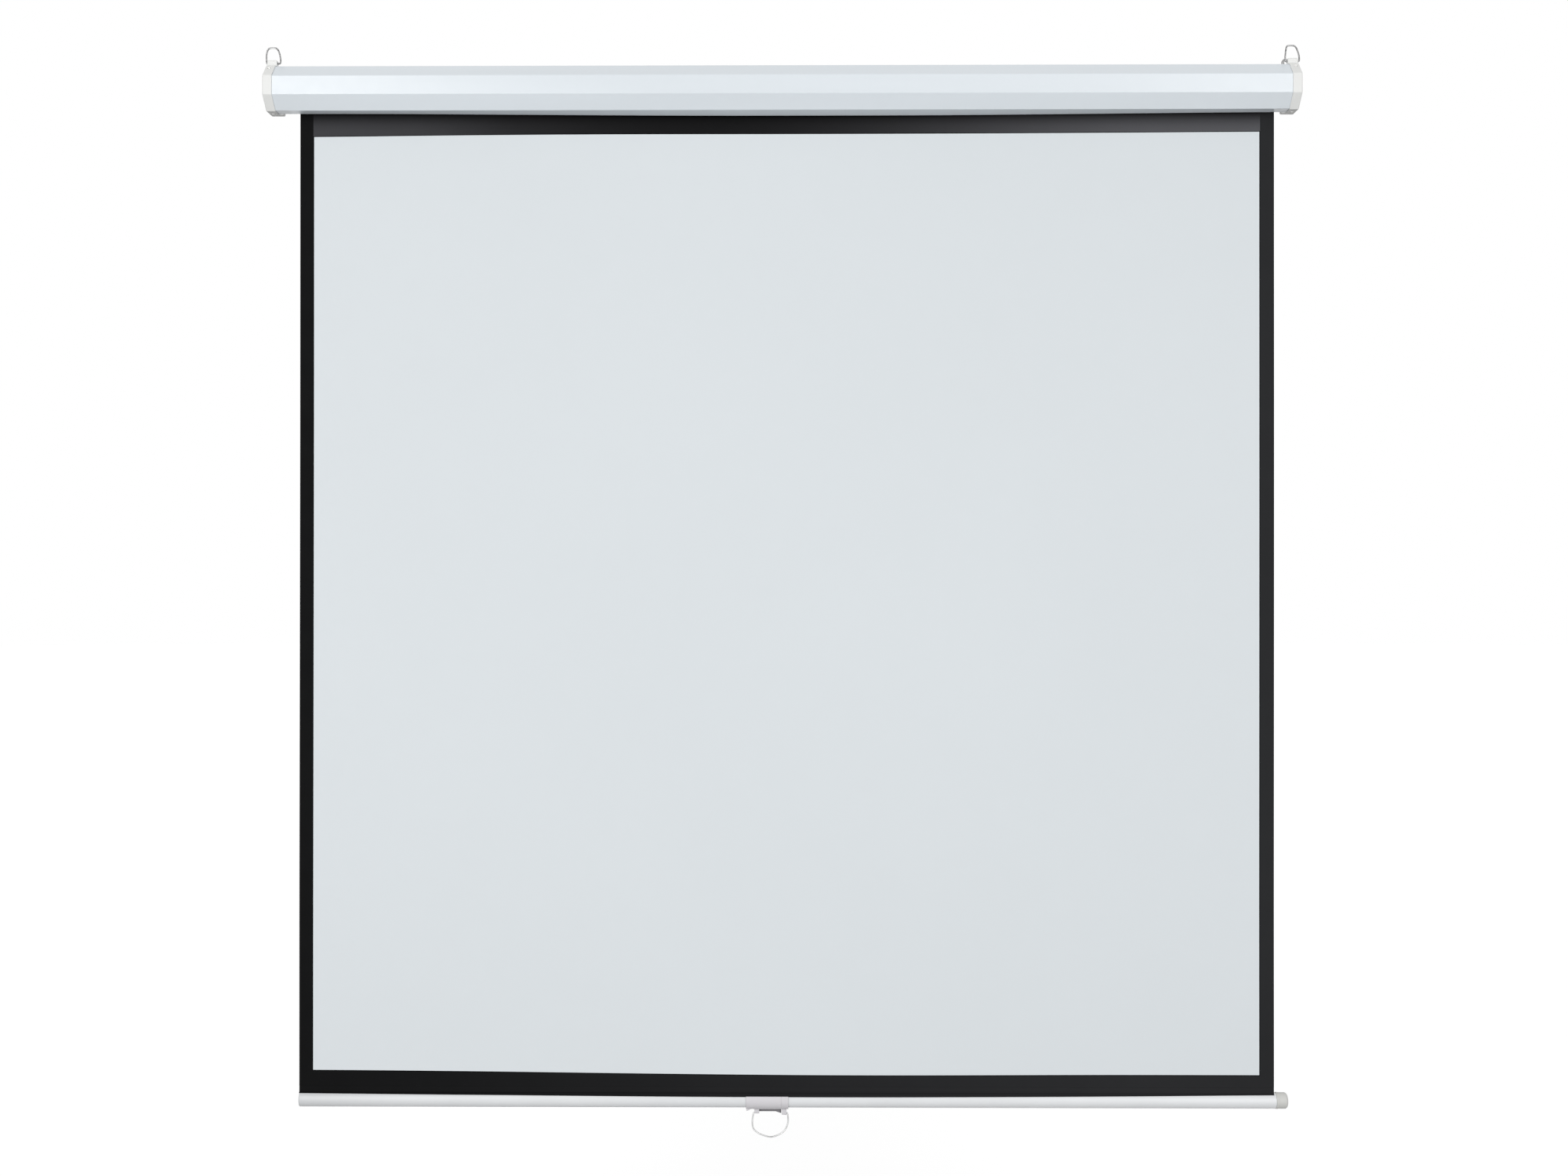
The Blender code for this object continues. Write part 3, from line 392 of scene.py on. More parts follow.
def joined(piece: bpy.types.Object, tools: list[tuple[str, bpy.types.Object]]) -> bpy.types.Object:
    """Join other closed surfaces to a piece or cut them from it, and keep its flats flat.

    Each tool acts as a Boolean between closed surfaces. The result's normals are the faces' own, weighted by
    their areas.

    Args:
        piece: The piece that is changed.
        tools: UNION or DIFFERENCE and the closed surface, in order; the surfaces are removed.

    Returns:
        The piece.
    """
    for operation, tool in tools:
        step = piece.modifiers.new(tool.name, "BOOLEAN")
        step.operation, step.solver, step.object = operation, "MANIFOLD", tool
    graph = bpy.context.evaluated_depsgraph_get()
    old = piece.data
    piece.data = bpy.data.meshes.new_from_object(piece.evaluated_get(graph), depsgraph=graph)
    piece.modifiers.clear()
    for _, tool in tools:
        bpy.data.objects.remove(tool, do_unlink=True)
    bpy.data.meshes.remove(old)
    piece.data.name = piece.name
    piece.data.materials.clear()
    close_and_smooth(piece.data, sharp=32.0, cut=True)
    flats = piece.modifiers.new("flats", "WEIGHTED_NORMAL")
    flats.keep_sharp, flats.weight = True, 60
    return piece


# Finishes: each is a small class that builds its own node tree


class Graph:
    """A node tree, with the ways in which its nodes are made and joined."""

    def __init__(self, tree: bpy.types.NodeTree) -> None:
        """Keep the tree's nodes and links."""
        self.nodes = tree.nodes
        self.links = tree.links

    def feed(self, socket: Socket, value: Socket | float | tuple) -> None:
        """Link an input to another node's output, or set its value.

        Args:
            socket: The input.
            value: The output or the value.
        """
        if isinstance(value, Socket):
            self.links.new(value, socket)
        else:
            socket.default_value = value

    def node(self, kind: str, feeds: dict | None = None, **settings: object) -> bpy.types.Node:
        """Make a node.

        Args:
            kind: The end of the node type's name.
            feeds: Its inputs by name or number, and what feeds each.
            settings: Its own settings.

        Returns:
            The node.
        """
        made = self.nodes.new(f"ShaderNode{kind}")
        for key, value in settings.items():
            setattr(made, key, value)
        for key, value in (feeds or {}).items():
            self.feed(made.inputs[key], value)
        return made

    def maths(self, kind: str, *values: Socket | float) -> Socket:
        """One step of arithmetic between outputs or numbers."""
        return self.node("Math", dict(enumerate(values)), operation=kind).outputs[0]

    def spread(
        self, value: Socket, low: float, high: float, start: float = 0.25, stop: float = 0.75
    ) -> Socket:
        """Spread a value from start and stop to low and high.

        Args:
            value: The value.
            low: The result at start and before it.
            high: The result at stop and after it.
            start: Where the result starts to change.
            stop: Where it stops.

        Returns:
            The result.
        """
        feeds = {"Value": value, "From Min": start, "From Max": stop, "To Min": low, "To Max": high}
        return self.node("MapRange", feeds, clamp=True).outputs["Result"]

    def place(self, source: str = "Object", stretch: tuple[float, float, float] = (1.0, 1.0, 1.0)) -> Socket:
        """The Object or UV coordinates, stretched along each axis."""
        coordinates = self.node("TexCoord").outputs[source]
        return self.node("Mapping", {"Vector": coordinates, "Scale": stretch}).outputs["Vector"]

    def axis(self, where: Socket, letter: str) -> Socket:
        """One axis of a set of coordinates."""
        return self.node("SeparateXYZ", {0: where}).outputs[letter]

    def noise(self, where: Socket, scale: float, detail: float = 2.0, roughness: float = 0.5) -> Socket:
        """Noise from 0 to 1 at a number of lumps a metre."""
        feeds = {"Vector": where, "Scale": scale, "Detail": detail, "Roughness": roughness}
        return self.node("TexNoise", feeds).outputs["Fac"]

    def ramp(self, value: Socket, stops: tuple[tuple[float, Colour], ...], run: str = "LINEAR") -> Socket:
        """Colours along a value from 0 to 1.

        Args:
            value: The value.
            stops: The places of the colours and the colours, from the first to the last.
            run: How the ramp passes from one to the next.

        Returns:
            The colour.
        """
        ramp = self.node("ValToRGB", {"Fac": value})
        ramp.color_ramp.interpolation = run
        marks = ramp.color_ramp.elements
        while len(marks) < len(stops):
            marks.new(0.5)
        for mark, (place, colour) in zip(marks, stops):
            mark.position = place
            mark.color = (*colour, 1.0)
        return ramp.outputs["Color"]


class Recipe(Graph):
    """Builds one material's nodes around its Principled shader."""

    def __init__(self, name: str, colour: Colour, roughness: float, metallic: float = 0.0) -> None:
        """Make the material in one plain colour.

        Args:
            name: The material's name.
            colour: Its colour.
            roughness: Its mean roughness.
            metallic: 1 for bare metal.
        """
        self.material = bpy.data.materials.new(name)
        self.material.use_nodes = True
        super().__init__(self.material.node_tree)
        self.shader = self.nodes["Principled BSDF"]
        self.colour = colour
        self.roughness = roughness
        self.set("Base Color", (*colour, 1.0))
        self.set("Roughness", roughness)
        self.set("Metallic", metallic)

    def set(self, name: str, value: Socket | float | tuple) -> None:
        """Feed one of the shader's own inputs."""
        self.feed(self.shader.inputs[name], value)

    def shade(self, value: Socket, amount: float) -> None:
        """Colour the shader a share either side of its colour by a value from 0 to 1."""
        dark, light = (tuple(min(1.0, c * (1 + k)) for c in self.colour) for k in (-amount, amount))
        self.set("Base Color", self.ramp(value, ((0.0, dark), (1.0, light))))

    def fade(self, value: Socket, stops: Knots) -> None:
        """Multiply the colour by a smooth run of shares.

        Args:
            value: A place from 0 to 1.
            stops: The places and their shares, from the first to the last.
        """
        shares = self.ramp(value, tuple((place, (share,) * 3) for place, share in stops), "B_SPLINE")
        plain = self.shader.inputs["Base Color"].links[0].from_socket
        mix = self.node("Mix", data_type="RGBA", blend_type="MULTIPLY")
        for key, fed in (("Factor", 1.0), (6, plain), (7, shares)):
            self.feed(mix.inputs[key], fed)
        self.set("Base Color", mix.outputs[2])

    def rough(self, value: Socket, spread: float) -> None:
        """Vary the roughness about its mean by a value from 0 to 1."""
        low, high = max(0.02, self.roughness - spread), self.roughness + spread
        self.set("Roughness", self.spread(value, low, high))

    def bump(self, height: Socket, strength: float, depth: float) -> None:
        """Raise the surface by a height."""
        feeds = {"Height": height, "Strength": strength, "Distance": depth}
        self.set("Normal", self.node("Bump", feeds).outputs["Normal"])


@dataclass(frozen=True)
class PaintedSteel:
    """Stoved paint on sheet steel: a faint orange peel and long soft changes of tone along the roll.

    The flat underneath, below a height, has painted light between the sheet's edges and painted shade past
    them.
    """

    name: str
    colour: Colour
    roughness: float = 0.34
    coat: float = 0.35
    peel: float = 900.0
    peel_depth: float = 0.00002
    roll: tuple[float, float, float] = (1.3, 16.0, 16.0)
    # Painted light and shade on the flat underneath: the heights below which it starts, the X span past which
    # it turns to shade, and the two shares.
    under: tuple[float, float] = (-0.0339, -0.0335)
    past: tuple[float, float] = (0.735, 0.760)
    lighter: float = 1.14
    darker: float = 0.74

    def make(self) -> bpy.types.Material:
        """Build the material.

        Returns:
            The material.
        """
        r = Recipe(self.name, self.colour, self.roughness)
        r.set("Coat Weight", self.coat)
        r.set("Coat Roughness", 0.2)
        long = r.noise(r.place("Object", self.roll), 1.0, 3.0)
        r.shade(r.spread(long, 0.0, 1.0, 0.3, 0.7), 0.02)
        fine = r.place()
        # Painted light and shade: below a height, the underside is brightened over the sheet and dimmed past
        # its edges.
        under = r.spread(r.axis(fine, "Z"), 1.0, 0.0, *self.under)
        past = r.spread(r.maths("ABSOLUTE", r.axis(fine, "X")), -1.0, 1.0, *self.past)
        spot = r.maths("ADD", r.maths("MULTIPLY", r.maths("MULTIPLY", under, past), 0.5), 0.5)
        shares = (self.lighter, self.lighter, 1.0, 1.0, self.darker, self.darker)
        r.fade(spot, tuple(zip((0.0, 0.2, 0.45, 0.55, 0.8, 1.0), shares)))
        r.rough(r.noise(fine, 55.0, 3.0), 0.05)
        r.bump(r.noise(fine, self.peel, 2.0), 0.35, self.peel_depth)
        return r.material


@dataclass(frozen=True)
class MouldedPlastic:
    """Moulded plastic: a fine spark-eroded texture and uneven gloss, and where given painted shade on its
    underside.
    """

    name: str
    colour: Colour
    roughness: float = 0.45
    grain: float = 1400.0
    grain_depth: float = 0.00003
    variation: float = 0.02
    specular: float = 0.45
    # Painted shade: the heights over which the underside is dimmed, and the share of its colour that it
    # keeps.
    under: tuple[float, float] | None = None
    darker: float = 0.72

    def make(self) -> bpy.types.Material:
        """Build the material.

        Returns:
            The material.
        """
        r = Recipe(self.name, self.colour, self.roughness)
        r.set("Specular IOR Level", self.specular)
        where = r.place()
        r.shade(r.noise(where, 38.0, 4.0), self.variation)
        # Painted shade: below the given height the colour is dimmed, standing in for shade under the cap.
        if self.under:
            height = r.spread(r.axis(where, "Z"), 0.0, 1.0, *self.under)
            r.fade(height, ((0.0, self.darker), (0.3, self.darker), (0.7, 1.0), (1.0, 1.0)))
        r.rough(r.noise(where, 90.0, 3.0), 0.06)
        r.bump(r.noise(where, self.grain, 3.0, 0.7), 0.4, self.grain_depth)
        return r.material


@dataclass(frozen=True)
class DrawnMetal:
    """Plated wire, drawn tube or cut metal: draw lines along one axis, with dull patches in the plating.

    Where given, painted shade fades the colour along X between two ends.
    """

    name: str
    colour: Colour
    roughness: float = 0.25
    metallic: float = 1.0
    lines: tuple[float, float, float] = (40.0, 900.0, 900.0)
    line_depth: float = 0.00001
    patch: float = 130.0
    variation: float = 0.10
    ends: tuple[float, float] = (0.0, 1.0)
    along: Knots = ()

    def make(self) -> bpy.types.Material:
        """Build the material.

        Returns:
            The material.
        """
        r = Recipe(self.name, self.colour, self.roughness, self.metallic)
        where = r.place()
        patches = r.noise(where, self.patch, 4.0, 0.6)
        r.shade(r.spread(patches, 0.0, 1.0, 0.35, 0.65), self.variation)
        # Painted shade: the colour fades along X between two ends.
        if self.along:
            r.fade(r.spread(r.axis(where, "X"), 0.0, 1.0, *self.ends), self.along)
        drawn = r.noise(r.place("Object", self.lines), 1.0, 3.0, 0.6)
        r.rough(r.maths("MULTIPLY", r.maths("ADD", drawn, patches), 0.5), 0.07)
        r.bump(drawn, 0.3, self.line_depth)
        return r.material


@dataclass(frozen=True)
class GalvanisedSteel:
    """Zinc-coated sheet: flat spangles of slightly different grey and gloss."""

    name: str
    colour: Colour
    roughness: float = 0.4
    spangle: float = 420.0
    variation: float = 0.14

    def make(self) -> bpy.types.Material:
        """Build the material.

        Returns:
            The material.
        """
        r = Recipe(self.name, self.colour, self.roughness, 1.0)
        where = r.place()
        cells = r.node("TexVoronoi", {"Vector": where, "Scale": self.spangle}, feature="F1")
        split = r.node("SeparateColor", {0: cells.outputs["Color"]})
        r.shade(split.outputs[0], self.variation)
        r.rough(split.outputs[1], 0.08)
        r.bump(r.noise(where, 700.0, 3.0), 0.25, 0.00002)
        return r.material


@dataclass(frozen=True)
class ScreenCloth:
    """Coated screen cloth: a fine plain weave under the coating and a slow mottle over metres.

    The weave's height is the product of one sine along the warp and one along the weft. Where given, a
    painted sheen makes the colour stronger or weaker along the width, standing in for reflections of the
    lamps, and a painted shadow darkens it upwards between two heights.
    """

    name: str
    colour: Colour
    roughness: float = 0.8
    specular: float = 0.3
    mottle: float = 0.012
    pitch: float = 0.0011
    depth: float = 0.000018
    # Painted sheen along the width, and a painted shadow between two heights with its run of shares.
    across: Knots = ()
    shaded: tuple[float, float] | None = None
    shade_run: Knots = ((0.0, 1.0), (0.45, 0.75), (1.0, 0.03))
    size: tuple[float, float] = (1.5, 1.531)

    def make(self) -> bpy.types.Material:
        """Build the material.

        Returns:
            The material.
        """
        r = Recipe(self.name, self.colour, self.roughness)
        r.set("Specular IOR Level", self.specular)
        where = r.place("UV", (*self.size, 1.0))
        slow = r.noise(where, 2.2, 3.0, 0.55)
        fine = r.noise(where, 260.0, 2.0)
        cloudy = r.maths("ADD", slow, r.maths("MULTIPLY", fine, 0.06))
        r.shade(r.spread(cloudy, 0.0, 1.0, 0.36, 0.70), self.mottle)
        # Painted sheen: a gain along the width that stands in for reflections of the lamps.
        if self.across:
            r.fade(r.axis(r.place("UV"), "X"), self.across)
        # Painted shadow: the colour darkens upwards between two heights, the shade under the casing's lip.
        if self.shaded:
            r.fade(r.spread(r.axis(r.place("UV"), "Y"), 0.0, 1.0, *self.shaded), self.shade_run)
        turns = (r.maths("MULTIPLY", r.axis(where, letter), 2 * math.pi / self.pitch) for letter in "XY")
        weave = r.maths("MULTIPLY", *(r.maths("SINE", turn) for turn in turns))
        r.rough(r.noise(where, 24.0, 3.0), 0.05)
        r.bump(r.maths("ADD", weave, fine), 0.5, self.depth)
        return r.material


def dress(piece: bpy.types.Object, *finishes: bpy.types.Material) -> bpy.types.Object:
    """Give a new piece its materials, one a slot.

    Args:
        piece: The piece.
        finishes: Its materials.

    Returns:
        The piece.
    """
    for finish in finishes:
        piece.data.materials.append(finish)
    return piece


def seat(piece: bpy.types.Object, body: str, *nodes: str) -> bpy.types.Object:
    """Let a piece ride on a body and stand for its solids, and report it.

    Args:
        piece: The finished piece.
        body: The body it moves with.
        nodes: The solids that it stands for, which it hides.

    Returns:
        The piece.
    """
    if nodes:
        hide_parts(*nodes)
    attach(piece, body)
    log.info("%s on %s: %d faces", piece.name, body, len(piece.data.polygons))
    return piece


def repaint(finish: bpy.types.Material, *nodes: str) -> None:
    """Give solids whose shape stays a finish of their own.

    Args:
        finish: The material.
        nodes: The solids.
    """
    for node in nodes:
        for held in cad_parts[node].material_slots:
            held.material = finish
        log.info("%s repainted", node)


# The housing: casing, end caps, lugs, screws and the wall tab


@dataclass
class PanScrew:
    """A pan-head screw with a cross recess, sunk in a cap's skin."""

    head: float = 0.0046
    sink: float = 0.0016
    play: float = 0.0003
    mouth: float = 0.0005
    clear: float = 0.0040
    rim: float = 0.0003
    rise: float = 0.0009
    cross_deep: float = 0.0008
    cross_half: float = 0.00042
    cross_slope: float = 0.00022
    cross_reach: float = 0.0016
    cross_fade: float = 0.0005
    shank: float = 0.0026
    steel: DrawnMetal = DrawnMetal("screw_steel", (0.74, 0.74, 0.72), 0.28)

    def __post_init__(self) -> None:
        """Make the steel that all four screws share."""
        self.finish = self.steel.make()

    def recess(self, name: str, skin: Array, out: Array) -> bpy.types.Object:
        """The round pocket that is cut for the head, with a bevelled mouth.

        Args:
            name: The cutter's name.
            skin: The point of the skin in its middle.
            out: The skin's direction.

        Returns:
            The cutter.
        """
        wall, high = self.head / 2 + self.play, self.clear
        mouth = wall + self.mouth
        profile = [(high, 0.0), (high, mouth), (1e-5, mouth), (-self.mouth, wall)]
        profile += [(-self.sink, wall), (-self.sink, 0.0)]
        return make_piece(name, *turned(np.array(profile), skin, out, 40))

    def build(self, node: str, skin: Array, out: Array) -> None:
        """Build the screw as a polar grid.

        Its height is a flattened dome, the rim's height plus the rise times the root of one less the fourth
        power of r, less a recess. The recess is full where either arm of the cross is nearer than its half
        width and fades out along the arm.

        Args:
            node: The solid it stands for.
            skin: The point of the skin over its middle.
            out: Its direction.
        """
        up, ease, rings = np.cross(out, ALONG_X), self.play / 3, 18
        head = self.head / 2 - ease
        r = np.concatenate([np.linspace(0.0, 1.0, rings), [1.0, 0.5, 0.5, 0.0]])[:, None] * head
        a = round_turn(48)[None]
        u, v = r * np.cos(a), r * np.sin(a)
        dome = self.rim + self.rise * np.sqrt(np.clip(1 - (r / head) ** 4, 0, 1))
        arm = np.minimum(np.abs(u), np.abs(v))
        cross = soft_step((self.cross_half - arm) / self.cross_slope)
        cross *= soft_step((self.cross_reach - r) / self.cross_fade)
        h = dome - self.cross_deep * cross
        h[rings:] = np.array([0.0, 0.0, -self.shank, -self.shank])[:, None]
        base = skin - out * (self.sink - ease)
        points = base + u[..., None] * ALONG_X + v[..., None] * up + h[..., None] * out
        name = node.replace("screw", "pan_screw")
        piece = make_piece(name, points, grid_quads(*u.shape, wrap_cols=True), sharp=60.0)
        seat(dress(piece, self.finish), "housing", node)


@dataclass
class Housing:
    """The folded casing and what closes and hangs it."""

    across: float = 0.068
    wall: float = 0.0012
    bend: float = 0.0018
    slot_front: float = 0.0395
    slot_width: float = 0.0125
    lip_height: float = 0.0045
    lip_rear: float = 0.0038
    lip_bend: float = 0.0012
    lip_margin: float = 0.0005
    lip_cut: float = 0.0002
    sag_reach: float = 0.08
    fit: float = 0.0003
    rim: float = 0.0145
    rim_wall: float = 0.0010
    cap_corner: float = 0.0030
    cap_edge: float = 0.0020
    inner_corner: float = 0.0010
    broken: float = 0.0004
    panel: tuple[float, float] = (0.0009, 0.0065)
    panel_slope: float = 0.0006
    end_wall: float = 0.0030
    grip: float = 0.0045
    collar: float = 0.0065
    collar_wall: float = 0.0020
    tang_hole: tuple[float, float] = (0.0038, 0.0076)
    pin_hole: float = 0.0068
    boss_radius: float = 0.0095
    boss_length: float = 0.0080
    boss_foot: float = 0.0008
    roller_forward: float = 0.0026
    hole_points: int = 48
    lug_width: float = 0.0155
    lug_depth: float = 0.0100
    lug_edge: float = 0.0018
    lug_rise: float = 0.0045
    lug_ahead: float = 0.0013
    lug_behind: float = 0.0034
    lug_foot: float = 0.0030
    lug_sunk: tuple[float, float] = (0.0001, 0.0007)
    ring_bore: float = 0.0015
    bore_mouth: float = 0.0006
    block_inset: float = 0.0002
    block_lead: float = 0.08
    cut_gap: float = 0.00005
    cut_past: float = 0.010
    cut_half: float = 0.060
    tab_head: float = 0.0067
    tab_stem: float = 0.0086
    tab_neck: float = 0.0380
    tab_hole: float = 0.0024
    tab_edge: float = 0.0002
    tab_gap: float = 0.0020
    sag: ClassVar[Knots] = (
        (-0.78, 0.0), (-0.62, 0.0), (-0.48, 0.0013), (-0.24, 0.0033), (-0.11, 0.0041), (0.12, 0.0042),
        (0.25, 0.0041), (0.49, 0.0022), (0.67, 0.0005), (0.78, 0.0),
    )
    paint: PaintedSteel = PaintedSteel("housing_paint", (0.735, 0.785, 0.825))
    # The caps' plastic takes painted shade on its underside, below these heights.
    plastic: MouldedPlastic = MouldedPlastic(
        "cap_plastic", (0.82, 0.825, 0.81), 0.48, specular=0.35, under=(-0.0353, -0.0345)
    )
    zinc: GalvanisedSteel = GalvanisedSteel("tab_zinc", (0.22, 0.22, 0.22), 0.42)

    def __post_init__(self) -> None:
        """Read the casing's box and derive the places that several parts share."""
        low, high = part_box("casing")
        self.left, self.right = low.x, high.x
        self.middle = -self.across / 2
        self.lip = self.slot_front - self.across
        self.slot_rear = self.lip + self.slot_width
        self.face = self.right - self.grip + self.rim
        self.apothem = self.across / 2 + self.fit + self.rim_wall
        self.inside = self.across / 2 - self.wall - self.fit
        self.collar_end = self.face - self.rim - self.collar
        self.roller_axis = np.array([self.middle - self.roller_forward, 0.0])
        self.cap_material = self.plastic.make()

    def casing_line(self) -> Array:
        """The casing's outer line from the front lip's end round to the rear lip's end, with its bends.

        Returns:
            The line's points in y and z.
        """
        half = self.across / 2
        flat = half * math.tan(EIGHTH / 2)
        rear_z = self.slot_rear - self.middle - flat - half
        fold = self.lip_rear / math.sqrt(2)
        turn = [(-flat, -half), (-half, -flat), (-half, flat), (-flat, half), (flat, half), (half, flat)]
        corners = np.vstack([
            [(self.lip, self.lip_height - half), (self.lip, -half)],
            np.array([*turn, (half, -flat)]) + (self.middle, 0.0),
            [(self.slot_rear, rear_z), (self.slot_rear - fold, rear_z + fold)],
        ])
        radii = np.array([self.lip_bend] + [self.bend] * 7 + [self.lip_bend])
        return rounded_line(corners, radii, steps=6, hold=self.broken)

    def casing(self) -> None:
        """Build the casing: the folded line and its copy one wall inside, carried along X.

        Its front lip sags between the caps: the sag is the lip's share, from 0 where the bottom flat starts
        to 1 at the lip, times a smooth line along X. Inside the caps the lips are cut back: there the folded
        ends shrink to the height of the bend.
        """
        line = self.casing_line()
        half, ends = self.across / 2, self.collar_end - self.fit
        cut, along = ends + self.lip_cut, np.linspace(-ends, ends, 81)
        x = np.concatenate([[self.left, -cut], along, [cut, self.right]])
        y, z = line.T
        start = self.middle - half * math.tan(EIGHTH / 2)
        share = np.clip((y - start) / (self.lip - start), 0.0, 1.0)
        share *= (z < self.lip_height + self.lip_margin - half) & (y < self.lip + self.lip_margin)
        shift = np.zeros((len(x), len(line), 2))
        shift[:, :, 1] = -smooth_line(x, self.sag, self.sag_reach)[:, None] * share
        place = np.arange(len(line))[:, None]
        front_fold = np.where(place < 3, line[3] - line, 0.0)
        rear_fold = np.where(place > len(line) - 4, line[-4] - line, 0.0)
        shift[np.abs(x) > ends] += front_fold + rear_fold
        loop = np.vstack([line, beside(line, self.wall)[::-1]])
        points = carried(x, loop + np.concatenate([shift, shift[:, ::-1]], 1))
        piece = make_piece("casing_shell", points, strip_quads(len(x), len(loop)), sharp=50.0)
        seat(dress(piece, self.paint.make()), "housing", "casing")

    def octagon(self, apothem: float, corner: float) -> Array:
        """A rounded octagon: a smaller octagon's corners plus the corner radius along the normals.

        Args:
            apothem: Half its width across the flats.
            corner: The radius of its corners.

        Returns:
            Its points in y and z.
        """
        k = np.arange(8)[:, None] * EIGHTH + EIGHTH / 2
        turn = k + np.linspace(-EIGHTH / 2, EIGHTH / 2, self.hole_points // 8)[None]
        spot = (apothem - corner) / math.cos(EIGHTH / 2) * np.stack([np.cos(k), np.sin(k)], -1)
        ring = spot + corner * np.stack([np.cos(turn), np.sin(turn)], -1)
        return ring.reshape(-1, 2) + (self.middle, 0.0)

    def round_hole(self, radius: float) -> Array:
        """A circle about the roller's axis with as many points as the octagon."""
        turn = round_turn(self.hole_points, 0.5)
        return radius * np.stack([np.cos(turn), np.sin(turn)], -1) + self.roller_axis

    def flat_hole(self, wide: float, high: float) -> Array:
        """A rectangle about the roller's axis: each direction's ray stopped at the nearer pair of sides.

        Args:
            wide: Its width along Y.
            high: Its height.

        Returns:
            Its points in y and z.
        """
        ring = self.round_hole(1.0) - self.roller_axis
        reach = np.min(np.array([wide, high]) / 2 / np.maximum(np.abs(ring), 1e-9), axis=1)
        return ring * reach[:, None] + self.roller_axis

    def cap_body(self, side: Side) -> bpy.types.Object:
        """Build an end cap's body as one closed loft of rings, from the hole's outer edge to its inner one.

        The face with its shallow panel, the rounded edge, the rim, the groove for the casing's end, the
        collar, the end wall and the boss are rings of one shape each at their own depth along X.

        Args:
            side: The housing's end.

        Returns:
            The body.
        """
        face, rim, reach = self.face, self.face - self.rim, self.collar_end
        floor, rear = rim + self.grip + self.fit, face - self.end_wall
        boss_end = rear - self.boss_length
        groove, inside = self.across / 2 + self.fit, self.inside
        inner = inside - self.collar_wall
        b, e, slope, foot = self.broken, self.cap_edge, self.panel_slope, self.boss_foot
        near, far = self.panel
        hole = self.flat_hole(*self.tang_hole) if side is Side.LEFT else self.round_hole(self.pin_hole)
        panel = [(face, far), (face - b, far - slope), (face - b, near + slope), (face, near)]
        arc = np.linspace(QUARTER, 0.0, 7)
        outside = [(x, e + inset) for x, inset in panel]
        outside += [(face - e + e * math.sin(a), e * (1 - math.cos(a))) for a in arc]
        outside += [(face - e - 2 * b, 0.0), (rim + b, 0.0), (rim + b / 4, b / 4), (rim, b)]
        grooved = [(rim, groove), (floor, groove)]
        tucked = [(floor, inside), (reach + b, inside), (reach, inside - b), (reach, inner), (rear, inner)]
        boss = [(rear, foot), (rear - foot, 0.0), (boss_end, -b)]
        rings = [(face - b, hole), (face, hole + unit(hole - hole.mean(0)) * b)]
        rings += [(x, self.octagon(self.apothem - inset, self.cap_corner)) for x, inset in outside]
        rings += [(x, self.octagon(apothem, self.bend)) for x, apothem in grooved]
        rings += [(x, self.octagon(apothem, self.inner_corner)) for x, apothem in tucked]
        rings += [(x, self.round_hole(self.boss_radius + more)) for x, more in boss]
        x, outlines = map(np.array, zip(*rings, (boss_end, hole)))
        points = carried(side.value * x, outlines)
        quads = grid_quads(*points.shape[:2], wrap_rows=True, wrap_cols=True)
        return make_piece(f"cap_shell_{side.key}", points, quads)

    def lug(self, side: Side) -> bpy.types.Object:
        """Build the lug that carries the ring, to be joined to its cap.

        Its level sections are rectangles with quarter-circle corners. They spread as a quarter circle at the
        foot, in front and behind, and draw in as a quarter circle at the top.

        Args:
            side: The housing's end.

        Returns:
            The lug.
        """
        centre_x, centre_y, pivot_z = ring_pivot(side)
        top, r, arc = pivot_z + self.lug_rise, self.lug_edge, np.linspace(0.0, QUARTER, 9)
        foot, sunk = (self.apothem - depth for depth in self.lug_sunk)
        rise = self.lug_foot * (1 - np.cos(arc))
        height = np.concatenate([[sunk], foot + rise, top - r * (1 - np.sin(arc))])
        spread = np.concatenate([[1.0], 1 - np.sin(arc), 0 * arc])
        inset = np.concatenate([[0.0], 0 * arc, r * (1 - np.cos(arc))])
        wide, deep = self.lug_width / 2 - inset, self.lug_depth / 2
        front = deep + self.lug_ahead * spread - inset
        rear = deep + self.lug_behind * spread - inset
        corner = np.minimum(r, np.minimum(wide, (front + rear) / 2))[:, None]
        steps = 7
        k = np.repeat(np.arange(4), steps)
        turn = (k + np.tile(np.linspace(0, 1, steps), 4)) * QUARTER
        right, back = np.isin(k, (0, 3)), k < 2
        x = centre_x + np.where(right, 1, -1) * (wide[:, None] - corner) + corner * np.cos(turn)
        behind = np.where(back, rear[:, None] - corner, corner - front[:, None])
        y = centre_y + behind + corner * np.sin(turn)
        points = with_poles(np.stack([x, y, np.broadcast_to(height[:, None], x.shape)], -1))
        quads = grid_quads(*points.shape[:2], wrap_cols=True)
        return make_piece(f"ring_lug_{side.key}", points, quads, sharp=50.0)

